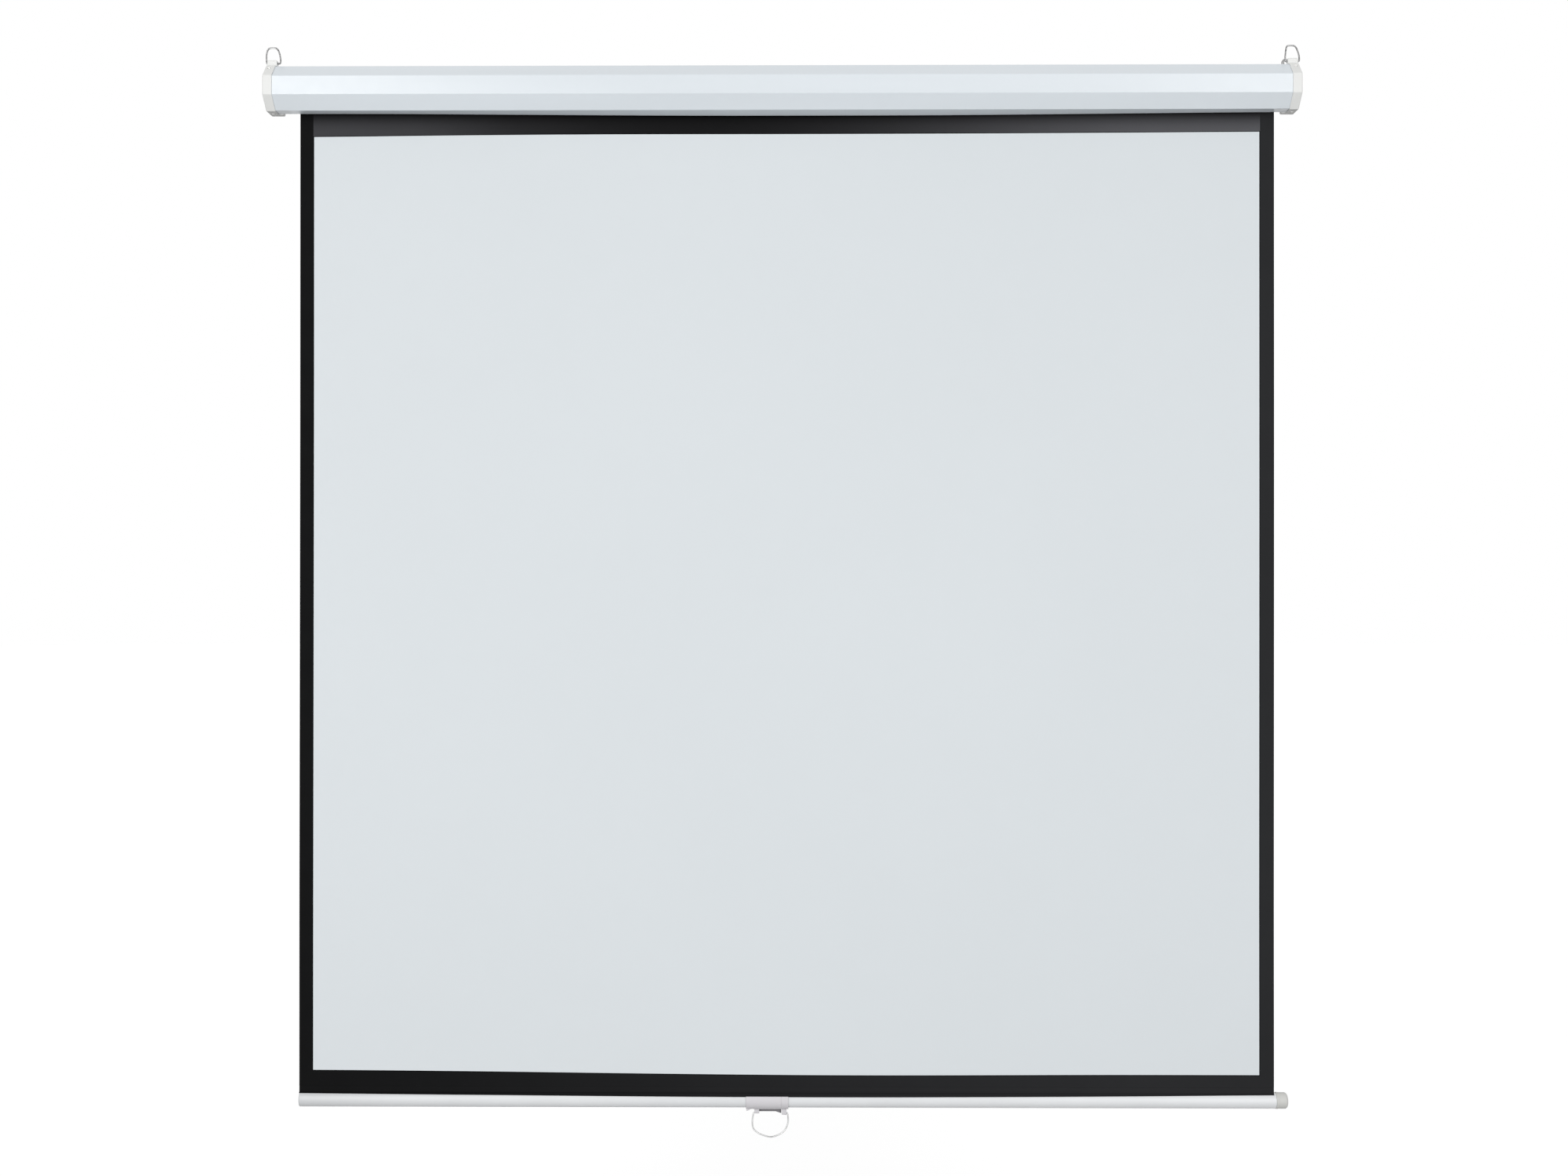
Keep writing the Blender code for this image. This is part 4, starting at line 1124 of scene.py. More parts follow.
    def slot_block(self, side: Side) -> bpy.types.Object:
        """Build the block that fills the casing's slot beside a cap: an outline carried along X.

        Args:
            side: The housing's end.

        Returns:
            The block.
        """
        front, rear = self.lip + self.fit, self.slot_rear - self.fit
        out, deep = self.apothem - self.block_inset, self.inside - self.collar_wall / 2
        out_y, deep_y = (self.middle + a * math.tan(EIGHTH / 2) for a in (out, deep))
        edge = self.bore_mouth
        line = np.array([(front, -deep), (front, -out + edge), (front + edge, -out), (out_y, -out),
                         (rear, -out + rear - out_y), (rear, -deep + rear - deep_y), (deep_y, -deep)])
        small = line + (line.mean(0) - line) * self.block_lead
        start = self.collar_end + self.block_inset
        x = side.value * np.array([start, start + self.broken, self.face - self.end_wall / 2])
        points = with_poles(carried(x, np.array([small, line, line])))
        quads = grid_quads(*points.shape[:2], wrap_cols=True)
        return make_piece(f"slot_block_{side.key}", points, quads)

    def screw_seat(self, node: str) -> tuple[Array, Array]:
        """The point of a cap's skin where a screw stands, and the screw's direction.

        Args:
            node: The screw's solid.

        Returns:
            The point and the direction.
        """
        out = unit(np.array([0.0, -1.0, 1.0] if "top" in node else [0.0, 0.0, -1.0]))
        spot = middle_of(node)
        return spot + out * (self.apothem - (spot - (0.0, self.middle, 0.0)) @ out), out

    def behind_wall(self, side: Side) -> bpy.types.Object:
        """Build the block behind the wall's plane, past every side of a cap.

        Args:
            side: The housing's end.

        Returns:
            The block.
        """
        past, half = self.cut_past, self.cut_half
        ends = [side.value * (self.collar_end - past), side.value * (self.face + past)]
        corners = np.stack(np.meshgrid(ends, [-self.cut_gap, past], [-half, half], indexing="ij"), -1)
        quads = [[0, 1, 3, 2], [4, 6, 7, 5], [0, 4, 5, 1], [2, 3, 7, 6], [0, 2, 6, 4], [1, 5, 7, 3]]
        return make_piece(f"behind_wall_{side.key}", corners, np.array(quads))

    def end_cap(self, side: Side, screw: PanScrew) -> None:
        """Build an end cap and its screws: its body joined to the lug and the slot's block, then cut.

        The cuts are the wall's plane, flush with the casing's back, the ring's bore and two screw recesses.

        Args:
            side: The housing's end.
            screw: The screw.
        """
        r, m, near = self.ring_bore, self.bore_mouth, self.lug_width / 2
        far = near + screw.clear
        half = np.array([(near - m, r), (near + 1e-5, r + m), (far, r + m), (far, 0.0)])
        bore = np.vstack([half[::-1] * (-1, 1), half])
        hole = make_piece(f"bore_{side.key}", *turned(bore, ring_pivot(side), sides=40))
        tools = [("DIFFERENCE", self.behind_wall(side)), ("UNION", self.lug(side))]
        tools += [("UNION", self.slot_block(side)), ("DIFFERENCE", hole)]
        spots = [f"screw_{spot}_{side.key}" for spot in ("top", "under")]
        tools += [("DIFFERENCE", screw.recess(f"recess_{node}", *self.screw_seat(node))) for node in spots]
        seat(dress(joined(self.cap_body(side), tools), self.cap_material), "housing", f"end_cap_{side.key}")
        for node in spots:
            screw.build(node, *self.screw_seat(node))

    def wall_tab(self) -> None:
        """Build the stamped tab: its outline and its hole as rings of equal count, with broken edges.

        The outline is half a circle over a neck and a narrower stem. The hole's ring stands at one radius
        in the direction of each point of the outline.
        """
        low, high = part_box("wall_tab")
        head, stem, neck = self.tab_head, high.x - self.tab_stem, self.tab_neck
        b, gap = self.tab_edge, self.tab_gap
        centre = np.array([high.x - head, high.z - head])
        arc = np.linspace(0.0, math.pi, 25)
        outline = np.vstack([
            centre + head * np.stack([np.cos(arc), np.sin(arc)], 1),
            [(high.x - 2 * head, neck + 2 * head - self.tab_stem), (stem, neck)],
            np.column_stack([np.full(10, stem), np.linspace(neck - gap, low.z, 10)]),
            np.column_stack([np.full(10, high.x), np.linspace(low.z, centre[1] - gap, 10)]),
        ])
        away = unit(outline - centre)
        hole = centre + away * self.tab_hole
        small, large = outline - away * b, hole + away * b
        rings = np.array([small, outline, outline, small, large, hole, hole, large])
        y = np.array([low.y, low.y + b, high.y - b, high.y, high.y, high.y - b, low.y + b, low.y])
        points = np.insert(rings, 1, y[:, None], axis=2)
        quads = grid_quads(*points.shape[:2], wrap_rows=True, wrap_cols=True)
        piece = make_piece("stamped_tab", points, quads)
        seat(dress(piece, self.zinc.make()), "housing", "wall_tab")

    def build(self) -> None:
        """Build every part of the housing."""
        self.casing()
        screw = PanScrew()
        for side in Side:
            self.end_cap(side, screw)
        self.wall_tab()


@dataclass
class HangingRings:
    """The two bright wire rings that hang the housing, bent by hand and so not quite alike."""

    bends: ClassVar[dict[Side, Knots]] = {
        Side.LEFT: (
            (0.0, 0.0), (8.2, 0.0), (10.9, 0.5), (12.0, 2.5), (11.9, 7.2), (11.2, 12.0), (9.9, 17.0),
            (7.9, 21.4), (5.0, 23.8), (0.8, 24.3), (-3.4, 24.1), (-6.8, 22.2), (-8.8, 17.6), (-9.7, 11.8),
            (-9.7, 6.0), (-9.5, 2.2), (-8.9, 0.5), (-7.6, 0.0),
        ),
        Side.RIGHT: (
            (0.0, 0.0), (8.0, 0.0), (9.9, 0.5), (10.7, 2.4), (10.5, 7.0), (9.6, 11.8), (8.1, 16.4),
            (6.1, 20.8), (3.6, 23.6), (0.2, 24.3), (-4.2, 24.3), (-7.2, 23.8), (-8.8, 21.6), (-9.7, 17.0),
            (-10.4, 10.5), (-10.7, 5.5), (-10.5, 2.4), (-9.7, 0.5), (-8.0, 0.0),
        ),
    }
    plating: DrawnMetal = DrawnMetal("ring_chrome", (0.22, 0.22, 0.22), 0.20, patch=260.0, variation=0.45)

    def build(self) -> None:
        """Build each ring: a closed curve through its bends, in millimetres from its pivot."""
        finish = self.plating.make()
        for side in Side:
            path = curve_through(np.array(self.bends[side]) / 1000, 6, closed=True)
            path = ring_pivot(side) + np.insert(path, 1, 0.0, axis=1)
            piece = make_piece(f"wire_ring_{side.key}", *wire_along(path, RING_WIRE / 2, closed=True))
            seat(dress(piece, finish), f"ring_{side.key}", f"hang_ring_{side.key}")


# The sheet: cloth from the roller to the bar, its border and its hem, and the turns left on the roller


@dataclass
class ScreenSheet:
    """The hanging cloth with its white field and black border."""

    thick: float = 0.00045
    lean_top: float = 0.0009
    lean_low: float = -0.0009
    field_left: float = -0.7218
    field_right: float = 0.7342
    field_columns: int = 92
    side_thread: float = 0.0012
    cross_thread: float = 0.0011
    drop_rows: int = 8
    field_rows: int = 80
    wave: float = 0.0009
    wave_across: tuple[float, float] = (1.5, 0.35)
    wave_down: tuple[float, float] = (1.3, 0.2)
    calm_top: tuple[float, float] = (0.05, 0.25)
    calm_low: float = 0.2
    hem_thick: float = 0.0005
    hem_gap: float = 0.0004
    hem_dye: float = 0.02
    hem_least: float = 0.02
    turns: float = 2.0
    rolled_thick: float = 0.00022
    rolled_gap: float = 0.00002
    rolled_dye: float = 0.11
    hem_start: ClassVar[Knots] = ((0.0006, 0.0020), (0.0006, 0.0), (0.0003, -0.0015))
    top_line: ClassVar[Knots] = (
        (-0.72, -0.0679), (-0.60, -0.0663), (-0.45, -0.0649), (-0.25, -0.0642), (0.0, -0.0645),
        (0.25, -0.0642), (0.5, -0.0634), (0.735, -0.0620),
    )
    low_line: ClassVar[Knots] = (
        (-0.72, -1.5065), (-0.49, -1.5080), (-0.25, -1.5109), (-0.12, -1.5122), (0.0, -1.5131),
        (0.125, -1.5136), (0.25, -1.5132), (0.5, -1.5119), (0.735, -1.5119),
    )
    hem_line: ClassVar[Knots] = (
        (-0.745, 0.0109), (-0.714, 0.0105), (-0.60, 0.0095), (-0.48, 0.0090), (-0.24, 0.0074),
        (-0.117, 0.0068), (0.125, 0.0065), (0.245, 0.0070), (0.487, 0.0082), (0.668, 0.0098),
        (0.757, 0.0107),
    )
    white: ScreenCloth = ScreenCloth("screen_white", (0.70, 0.74, 0.765), mottle=0.006)
    # The drop's gain along the width is a painted sheen, brightest towards both ends, and its top takes a
    # painted shadow under the casing's lip.
    drop: ScreenCloth = ScreenCloth(
        "border_drop", (0.096, 0.096, 0.104), 0.5, 0.05, mottle=0.06, shaded=(0.9610, 0.9795),
        across=(
            (0.0, 0.56), (0.12, 0.52), (0.22, 0.17), (0.38, 0.04), (0.52, 0.10), (0.66, 0.36), (0.82, 0.95),
            (1.0, 1.0),
        ),
    )
    # The border's gain along the width is a painted sheen, dim on the left and bright on the right.
    border: ScreenCloth = ScreenCloth(
        "border_black", (0.0215, 0.0220, 0.0235), 0.62, 0.055, mottle=0.08,
        across=((0.0, 0.10), (0.3, 0.42), (0.6, 0.78), (0.8, 1.0), (1.0, 0.92)),
    )
    edge: ScreenCloth = ScreenCloth("border_edge", (0.0025, 0.0025, 0.003), 0.7, 0.06, mottle=0.05)
    back: ScreenCloth = ScreenCloth("sheet_back", (0.016, 0.016, 0.018), 0.75, 0.25, mottle=0.08)

    def __post_init__(self) -> None:
        """Read the sheet's box and make its finishes."""
        self.low, self.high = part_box("screen_sheet")
        self.y = (self.low.y + self.high.y) / 2
        self.wide = self.high.x - self.low.x
        self.finishes = [kind.make() for kind in (self.white, self.drop, self.border, self.edge, self.back)]

    def columns(self) -> tuple[Array, Array]:
        """The sheet's columns: a share of the width for each, and the dye to the right of it.

        Returns:
            The shares and the dyes; a dark thread runs down both sides of the white field.
        """
        left, right = ((at - self.low.x) / self.wide for at in (self.field_left, self.field_right))
        fine = self.side_thread / self.wide
        field = np.linspace(left, right, self.field_columns)
        left_side = [0.0, fine, left / 2, left - fine]
        right_side = [right + fine, (1 + right) / 2, 1 - fine, 1.0]
        order = (Dye.BORDER, Dye.EDGE, Dye.WHITE, Dye.EDGE, Dye.BORDER)
        dye = np.repeat([kind.value for kind in order], [3, 1, self.field_columns - 1, 1, 3])
        return np.concatenate([left_side, field, right_side]), dye

    def cloth(self) -> None:
        """Build the sheet as a front and a back grid, joined round their edges.

        Rows are the slot's drop, the white field and the bottom border, so each column runs from the roller
        to the hem along the field's bowed edges. Away from the slot and the hem the cloth stands off its
        plane by a slow wave: a sine across times a sine down.
        """
        share, dye = self.columns()
        low, thread = self.low.z, self.cross_thread
        base_x = self.low.x + share * self.wide
        upper, lower = smooth_line(base_x, self.top_line), smooth_line(base_x, self.low_line)
        counts = (self.drop_rows, self.field_rows, self.drop_rows)
        drop, field, border = (np.linspace(0.0, 1.0, count + 1)[:, None] for count in counts)
        z = np.concatenate([
            drop * (upper + thread),
            upper + field * (lower - upper),
            lower - thread + border * (low - lower + thread),
        ])
        order = [Dye.DROP.value, Dye.EDGE.value, -1, Dye.EDGE.value, Dye.BORDER.value]
        row_dye = np.repeat(order, [counts[0], 1, counts[1], 1, counts[2]])[:, None]
        v = z / low
        x = base_x[None] + (self.lean_top + (self.lean_low - self.lean_top) * v) * (1 - share)[None]
        (start, run), (waves, slant), (halves, ahead) = self.calm_top, self.wave_across, self.wave_down
        calm = soft_step((v - start) / run) * soft_step((1 - v) / self.calm_low)
        across = np.sin(2 * math.pi * (waves * share[None] + slant * v))
        off = across * np.sin(math.pi * (halves * v + ahead))
        front = np.stack([x, self.y + self.wave * calm * off - self.thick / 2, z], -1)
        rows, cols = z.shape
        count, last = rows * cols, (rows - 1) * cols
        quads = grid_quads(rows, cols)
        rim = np.concatenate([np.arange(cols), np.arange(1, rows) * cols + cols - 1,
                              last + np.arange(cols - 2, -1, -1), np.arange(rows - 2, 0, -1) * cols])
        after = np.roll(rim, -1)
        skirt = np.stack([rim, after, after + count, rim + count], 1)
        side = dye == Dye.BORDER.value
        front_dye = np.where((row_dye < 0) | side, dye, row_dye)
        slots = [front_dye.ravel(), np.full(len(quads), Dye.BACK.value), np.full(len(skirt), Dye.EDGE.value)]
        uv = np.stack([np.broadcast_to(share, z.shape), 1 - v], -1)
        piece = make_piece(
            "screen_cloth", np.stack([front, front + (0.0, self.thick, 0.0)]),
            np.vstack([quads, quads[:, ::-1] + count, skirt]),
            sharp=50.0, uv=np.stack([uv, uv]), slots=np.concatenate(slots),
        )
        self.piece = seat(dress(piece, *self.finishes), "housing", "screen_sheet")

    def strip(self, name: str, x: Array, there: Array, back: Array, dyed: float) -> bpy.types.Object:
        """Build a thin piece of the cloth from a section's two sides, carried along X.

        Args:
            name: The piece's name.
            x: X of each section.
            there: One side of the section, or of each section, in y and z.
            back: The other side, from its end back to its start.
            dyed: The share of the sheet's length that its UV map covers.

        Returns:
            The piece.
        """
        points = carried(x, np.concatenate([there, back], -2))
        rows, cols = points.shape[:2]
        down = np.linspace(0, dyed, cols // 2)
        across = ((x - self.low.x) / self.wide)[:, None]
        uv = np.stack(np.broadcast_arrays(across, np.concatenate([down, down[::-1]])[None]), -1)
        return make_piece(name, points, strip_quads(rows, cols), sharp=50.0, uv=uv)

    def hem(self) -> None:
        """Build the hem: the border's end, which laps over the bar's upper front to a slightly bowed edge.

        Its line starts behind the cloth's lower end, comes down to the bar and follows it to an angle above
        the level front: the arcsine of the edge's height over the hem's outer radius.
        """
        low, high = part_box("bar_tube")
        _, bar_y, bar_z = middle_of("bar_tube")
        top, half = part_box("bar_hem")[1].z, self.hem_thick / 2
        x = np.linspace(self.low.x + self.lean_low, self.high.x, 81)
        radius = (high.z - low.z) / 2 + self.hem_gap + half
        meets = math.acos(min(1.0, (bar_y - self.y) / radius))
        stop = np.arcsin(smooth_line(x, self.hem_line) / (radius + half))
        stop = np.minimum(stop, meets - self.hem_least)
        angle = meets + (stop[:, None] - meets) * np.linspace(0.0, 1.0, 14)
        round_bar = np.stack([-np.cos(angle), np.sin(angle)], -1)
        start = np.broadcast_to(np.array(self.hem_start) + (self.y, top), (len(x), 3, 2))
        line = np.concatenate([start, (bar_y, bar_z) + radius * round_bar], 1)
        normal = np.concatenate([np.broadcast_to([-1.0, 0.0], start.shape), round_bar], 1)
        there, back = line + normal * half, (line - normal * half)[:, ::-1]
        piece = self.strip("border_hem", x, there, back, self.hem_dye)
        self.hem_piece = seat(dress(piece, self.finishes[Dye.BORDER.value]), "weight_bar", "bar_hem")

    def turns_on_roller(self) -> None:
        """Build the turns left on the roller: a spiral whose radius grows by one cloth a turn.

        It ends at the roller's rear side, where the hanging sheet starts.
        """
        low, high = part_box("sheet_on_roller")
        centre = middle_of("sheet_on_roller")[1:]
        half = self.rolled_thick / 2
        angle = np.linspace(-2 * math.pi * self.turns, 0.0, int(64 * self.turns) + 1)
        grown = angle / (2 * math.pi) * (self.rolled_thick + self.rolled_gap)
        radius = ((high.z - low.z) / 2 - half + grown)[:, None]
        ring = np.stack([np.cos(-angle), np.sin(-angle)], 1)
        outer, inner = (centre + ring * (radius + side) for side in (half, -half))
        piece = self.strip("cloth_turns", np.linspace(low.x, high.x, 9), outer, inner[::-1], self.rolled_dye)
        self.roll = seat(dress(piece, self.finishes[Dye.BACK.value]), "roller", "sheet_on_roller")
        self.roll_length = float(radius.mean() * 2 * math.pi * self.turns)

    def build(self) -> None:
        self.cloth()
        self.hem()
        self.turns_on_roller()
        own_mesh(self.piece)


# The weight bar with its ends, the clip round it and the wire bail


@dataclass(frozen=True)
class ClipFoot:
    """An ear, foot or web under the clip, by its X ends and its drop below the bar's axis at each."""

    name: str
    half_clip: str
    left: float
    right: float
    drop_left: float
    drop_right: float
    behind: float
    half_depth: float
    # Whether it takes the dark plastic that paints the shade under the clip.
    shaded: bool = False


@dataclass
class WeightBar:
    """The round bar at the sheet's lower edge and its handle."""

    wall: float = 0.0012
    gap: float = 0.0003
    seam: float = 0.00002
    edge: float = 0.0003
    broken: float = 0.0004
    plug_flange: float = 0.0015
    plug_edge: float = 0.0006
    plug_dish: tuple[float, float] = (0.0030, 0.0034)
    cap_radius: float = 0.01225
    cap_lip: float = 0.0126
    lip_wide: float = 0.0028
    cap_round: float = 0.0042
    cap_tip: float = 0.0012
    cap_straight: float = 0.0080
    nib: float = 0.0046
    clip_wall: float = 0.0020
    clip_front: float = math.radians(28)
    clip_back: float = math.radians(196)
    clip_edge: float = 0.0005
    foot_edge: float = 0.0006
    bail_wire: float = 0.0024
    feet: ClassVar[tuple[ClipFoot, ...]] = (
        ClipFoot("ear_left", "handle_clip", -0.0419, -0.0344, 0.0214, 0.0214, 0.0, 0.0033),
        ClipFoot("ear_right", "handle_jaw", 0.0002, 0.0077, 0.0232, 0.0238, 0.0, 0.0033),
        ClipFoot("clip_heel", "handle_clip", -0.0541, -0.0490, 0.0161, 0.0146, -0.0050, 0.0030),
        # The web and the gusset are dark as painted shade under the clip.
        ClipFoot("clip_web", "handle_clip", -0.0350, -0.0090, 0.0196, 0.0196, 0.0042, 0.0013, True),
        ClipFoot("clip_gusset", "handle_clip", -0.0092, -0.0005, 0.0196, 0.0225, 0.0042, 0.0013, True),
    )
    bail_bends: ClassVar[Knots] = (
        (-19.5, 0.0), (-24.6, 0.0), (-26.2, -1.4), (-26.9, -5.0), (-27.9, -12.0), (-27.5, -20.5),
        (-25.0, -26.3), (-18.9, -31.4), (-9.2, -35.6), (0.5, -37.4), (9.4, -35.4), (18.6, -30.4),
        (24.6, -22.8), (27.2, -13.2), (26.8, -4.6), (26.1, -1.4), (24.5, 0.0), (19.5, 0.0),
    )
    # The bar's coating is dimmed towards its left end as painted shade.
    tube: DrawnMetal = DrawnMetal(
        "bar_coating", (0.77, 0.785, 0.80), 0.36, 0.0, (3.0, 700.0, 700.0), 0.000012, 9.0, 0.02,
        ends=(-0.745, 0.76), along=((0.0, 0.80), (0.06, 0.86), (0.13, 0.94), (0.5, 0.95), (1.0, 1.0)),
    )
    plug: MouldedPlastic = MouldedPlastic("plug_plastic", (0.60, 0.61, 0.62), 0.45)
    cap: MouldedPlastic = MouldedPlastic("bar_cap_plastic", (0.61, 0.61, 0.59), 0.50, specular=0.35)
    clip: MouldedPlastic = MouldedPlastic("clip_plastic", (0.65, 0.635, 0.66), 0.42)
    # Painted shade: a dark grey plastic standing in for the shade under the clip.
    shaded: MouldedPlastic = MouldedPlastic("clip_painted_shade_plastic", (0.20, 0.195, 0.205), 0.5)
    chrome: DrawnMetal = DrawnMetal("bail_chrome", (0.50, 0.50, 0.50), 0.34, patch=260.0)

    def __post_init__(self) -> None:
        """Read the bar's place and size."""
        low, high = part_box("bar_tube")
        self.right = high.x
        self.radius = (high.z - low.z) / 2
        self.axis = middle_of("bar_tube")[1:]
        self.stem = self.radius - self.wall - self.gap
        self.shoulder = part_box("bar_plug_l")[0].x + self.plug_flange

    def turned_piece(
        self,
        name: str,
        node: str,
        profile: Array,
        finish: bpy.types.Material,
        sides: int = 64,
        ring: bool = False,
        sharp: float = 35.0,
    ) -> None:
        """Build a piece of the bar by turning a profile about the bar's axis.

        Args:
            name: The piece's name.
            node: The solid it stands for.
            profile: X and the radius of each point.
            finish: Its material.
            sides: Steps round the axis.
            ring: Whether the profile is closed.
            sharp: Angle in degrees past which an edge stays sharp.
        """
        origin = np.array([0.0, *self.axis])
        piece = make_piece(name, *turned(profile, origin, sides=sides, ring=ring), sharp=sharp)
        seat(dress(piece, finish), "weight_bar", node)

    def bar_plug(self) -> None:
        """Build the flush left plug: a dished face, a rounded edge, a flange and a stem in the tube."""
        low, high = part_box("bar_plug_l")
        r, face, e, shoulder, stem = self.radius, low.x, self.edge, self.shoulder, self.stem
        dish, inner = self.plug_dish
        edge, cut = self.plug_edge, e * 2 / 3
        profile = [(face + e, 0.0), (face + e, r - inner), (face, r - dish), (face, r - edge)]
        profile += [(face + cut, r - cut), (face + edge, r), (shoulder, r), (shoulder, stem)]
        profile += [(high.x, stem), (high.x, 0.0)]
        self.turned_piece("bar_plug", "bar_plug_l", np.array(profile), self.plug.make())

    def bar_tube(self) -> None:
        """Build the tube, with its right edge broken."""
        r, e, left = self.radius, self.edge, self.shoulder + self.seam
        span = np.linspace(left, self.right - e, 60)
        ends = [(self.right, r - e), (self.right, r - self.wall), (left, r - self.wall)]
        profile = np.vstack([np.column_stack([span, np.full(60, r)]), ends])
        self.turned_piece("bar_shell", "bar_tube", profile, self.tube.make(), sides=96, ring=True)

    def bar_end_cap(self) -> None:
        """Build the right cap: a stem in the tube, a raised lip and a quarter-circle nose with a nib mark."""
        low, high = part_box("bar_cap_r")
        big, lip, nose, stem = self.cap_radius, self.cap_lip, self.cap_round, self.stem
        b = self.broken
        start, tip = self.right + self.gap, high.x - self.cap_tip
        end = start + self.lip_wide
        arc = np.linspace(QUARTER, 0.0, 13)
        dome = np.column_stack([tip - nose * (1 - np.cos(arc)), big - nose * (1 - np.sin(arc))])
        front = [(low.x, 0.0), (low.x, stem), (start, stem), (start, lip - b), (start + b, lip), (end, lip)]
        ridge = [(end + b, lip - self.edge), (end + 1.5 * b, big - b / 4), (end + 2.5 * b, big)]
        ridge += [(start + self.cap_straight, big)]
        mark = [(tip, self.nib), (tip - b, self.nib - 1.5 * b), (tip - b, 0.0)]
        profile = np.vstack([front, ridge, dome, mark])
        self.turned_piece("bar_end_cap", "bar_cap_r", profile, self.cap.make(), sides=80, sharp=50.0)

    def around(self, radius: Array | float, above_front: Array) -> Array:
        """Points in (y, z) on a circle about the bar, by their angle above the level front."""
        return self.axis + np.stack([-radius * np.cos(above_front), radius * np.sin(above_front)], -1)

    def clip_half(self, node: str, finish: bpy.types.Material) -> None:
        """Build one half of the clip: a shell round the bar with rolled edges.

        Its section runs along an arc outside, turns half a circle at the back edge, runs back inside and
        turns half a circle at the front edge. At both X ends the wall thins as a quarter circle.

        Args:
            node: The solid it stands for.
            finish: The clip's material.
        """
        low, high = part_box(node)
        left, right = low.x, high.x if high.x > 0 else -self.seam
        base, edge, tips = self.radius + self.gap, self.clip_edge, 5
        t = np.linspace(0.0, QUARTER, 5)
        inset, fall = (edge * (1 - np.cos(t)))[:-1], (edge * (1 - np.sin(t)))[:-1]
        x = np.concatenate([left + inset, np.linspace(left + edge, right - edge, 6), right - inset[::-1]])
        thin = np.concatenate([fall, np.zeros(6), fall[::-1]])
        turn = np.linspace(self.clip_front, -self.clip_back, 73)
        roll = np.linspace(0.0, math.pi, tips + 2)[1:-1]
        outer = (base + self.clip_wall - thin)[:, None]
        mid, half = (base + outer) / 2, (outer - base) / 2
        section = np.concatenate([
            self.around(outer, turn[None]),
            self.around(mid + half * np.cos(roll), turn[-1] - half / base * np.sin(roll)),
            self.around(np.full((len(x), 1), base), turn[None, ::-1]),
            self.around(mid - half * np.cos(roll), turn[0] + half / base * np.sin(roll)),
        ], 1)
        quads = strip_quads(len(x), section.shape[1], first=-(tips // 2 + 1))
        piece = make_piece(node.replace("handle", "grip"), carried(x, section), quads, sharp=50.0)
        seat(dress(piece, finish), "weight_bar", node)

    def clip_foot(self, foot: ClipFoot, finish: bpy.types.Material) -> None:
        """Build a foot: rounded sections along X, whose lower edge runs between two drops.

        A section is the curve |y/half|^4 + |z/high|^4 = 1 about its middle, drawn in at both X ends.

        Args:
            foot: The foot.
            finish: Its material.
        """
        long = foot.right - foot.left
        ends, t = min(self.foot_edge, long / 5), np.linspace(0.0, QUARTER, 5)
        inset = ends * (1 - np.cos(t))
        x = np.concatenate([foot.left + inset, foot.right - inset[::-1]])
        drawn = 0.9 * ends * np.concatenate([1 - np.sin(t), (1 - np.sin(t))[::-1]])[:, None]
        drop = foot.drop_left + (foot.drop_right - foot.drop_left) * (x - foot.left) / long
        top = math.sqrt((self.radius + self.gap + self.clip_wall / 2) ** 2 - foot.behind**2)
        turn = round_turn(40, 0.5)
        sy, sz = (np.sign(f(turn)) * np.abs(f(turn)) ** 0.5 for f in (np.cos, np.sin))
        middle, high = (drop + top)[:, None] / 2, (drop - top)[:, None] / 2
        y = self.axis[0] + foot.behind + (foot.half_depth - drawn) * sy
        z = self.axis[1] - middle + (high - drawn) * sz
        points = with_poles(carried(x, np.stack([y, z], -1)))
        piece = make_piece(foot.name, points, grid_quads(*points.shape[:2], wrap_cols=True), sharp=50.0)
        seat(dress(piece, finish), "weight_bar")

    def bail(self) -> None:
        """Build the wire bail: a smooth curve down from one ear, round under and up to the other."""
        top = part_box("pull_bail")[1].z - self.bail_wire / 2
        path = curve_through(np.array(self.bail_bends) / 1000, 8)
        path = np.array([*middle_of("pull_bail")[:2], top]) + np.insert(path, 1, 0.0, axis=1)
        piece = make_piece("wire_bail", *wire_along(path, self.bail_wire / 2, closed=False))
        seat(dress(piece, self.chrome.make()), "bail", "pull_bail")

    def build(self) -> None:
        """Build the bar and its handle."""
        self.bar_plug()
        self.bar_tube()
        self.bar_end_cap()
        finish, shaded = self.clip.make(), self.shaded.make()
        for node in ("handle_clip", "handle_jaw"):
            self.clip_half(node, finish)
        for foot in self.feet:
            self.clip_foot(foot, shaded if foot.shaded else finish)
        self.bail()


@dataclass
class RollerWorks:
    """The roller and its spring, ratchet and pawls, whose solids keep their shape."""

    tube: GalvanisedSteel = GalvanisedSteel("roller_zinc", (0.58, 0.59, 0.60), 0.38, 260.0)
    dark: MouldedPlastic = MouldedPlastic("plug_nylon", (0.10, 0.105, 0.115), 0.5)
    pale: MouldedPlastic = MouldedPlastic("bearing_acetal", (0.72, 0.70, 0.63), 0.42)
    steel: DrawnMetal = DrawnMetal("shaft_steel", (0.50, 0.50, 0.50), 0.3)
    spring: DrawnMetal = DrawnMetal("spring_wire", (0.33, 0.33, 0.35), 0.28, patch=400.0)
    brass: DrawnMetal = DrawnMetal("ratchet_brass", (0.55, 0.45, 0.24), 0.34, lines=(900.0, 60.0, 900.0))

    def build(self) -> None:
        """Repaint the hidden solids."""
        repaint(self.tube.make(), "roller_tube")
        repaint(self.dark.make(), "spring_end_plug", "idle_end_plug")
        repaint(self.pale.make(), "spindle_bearing", "idle_bushing")
        repaint(self.steel.make(), "spindle", "idle_pin", "pawl_pin_a", "pawl_pin_b")
        repaint(self.spring.make(), "torsion_spring")
        repaint(self.brass.make(), "ratchet_wheel", "pawl_a", "pawl_b")


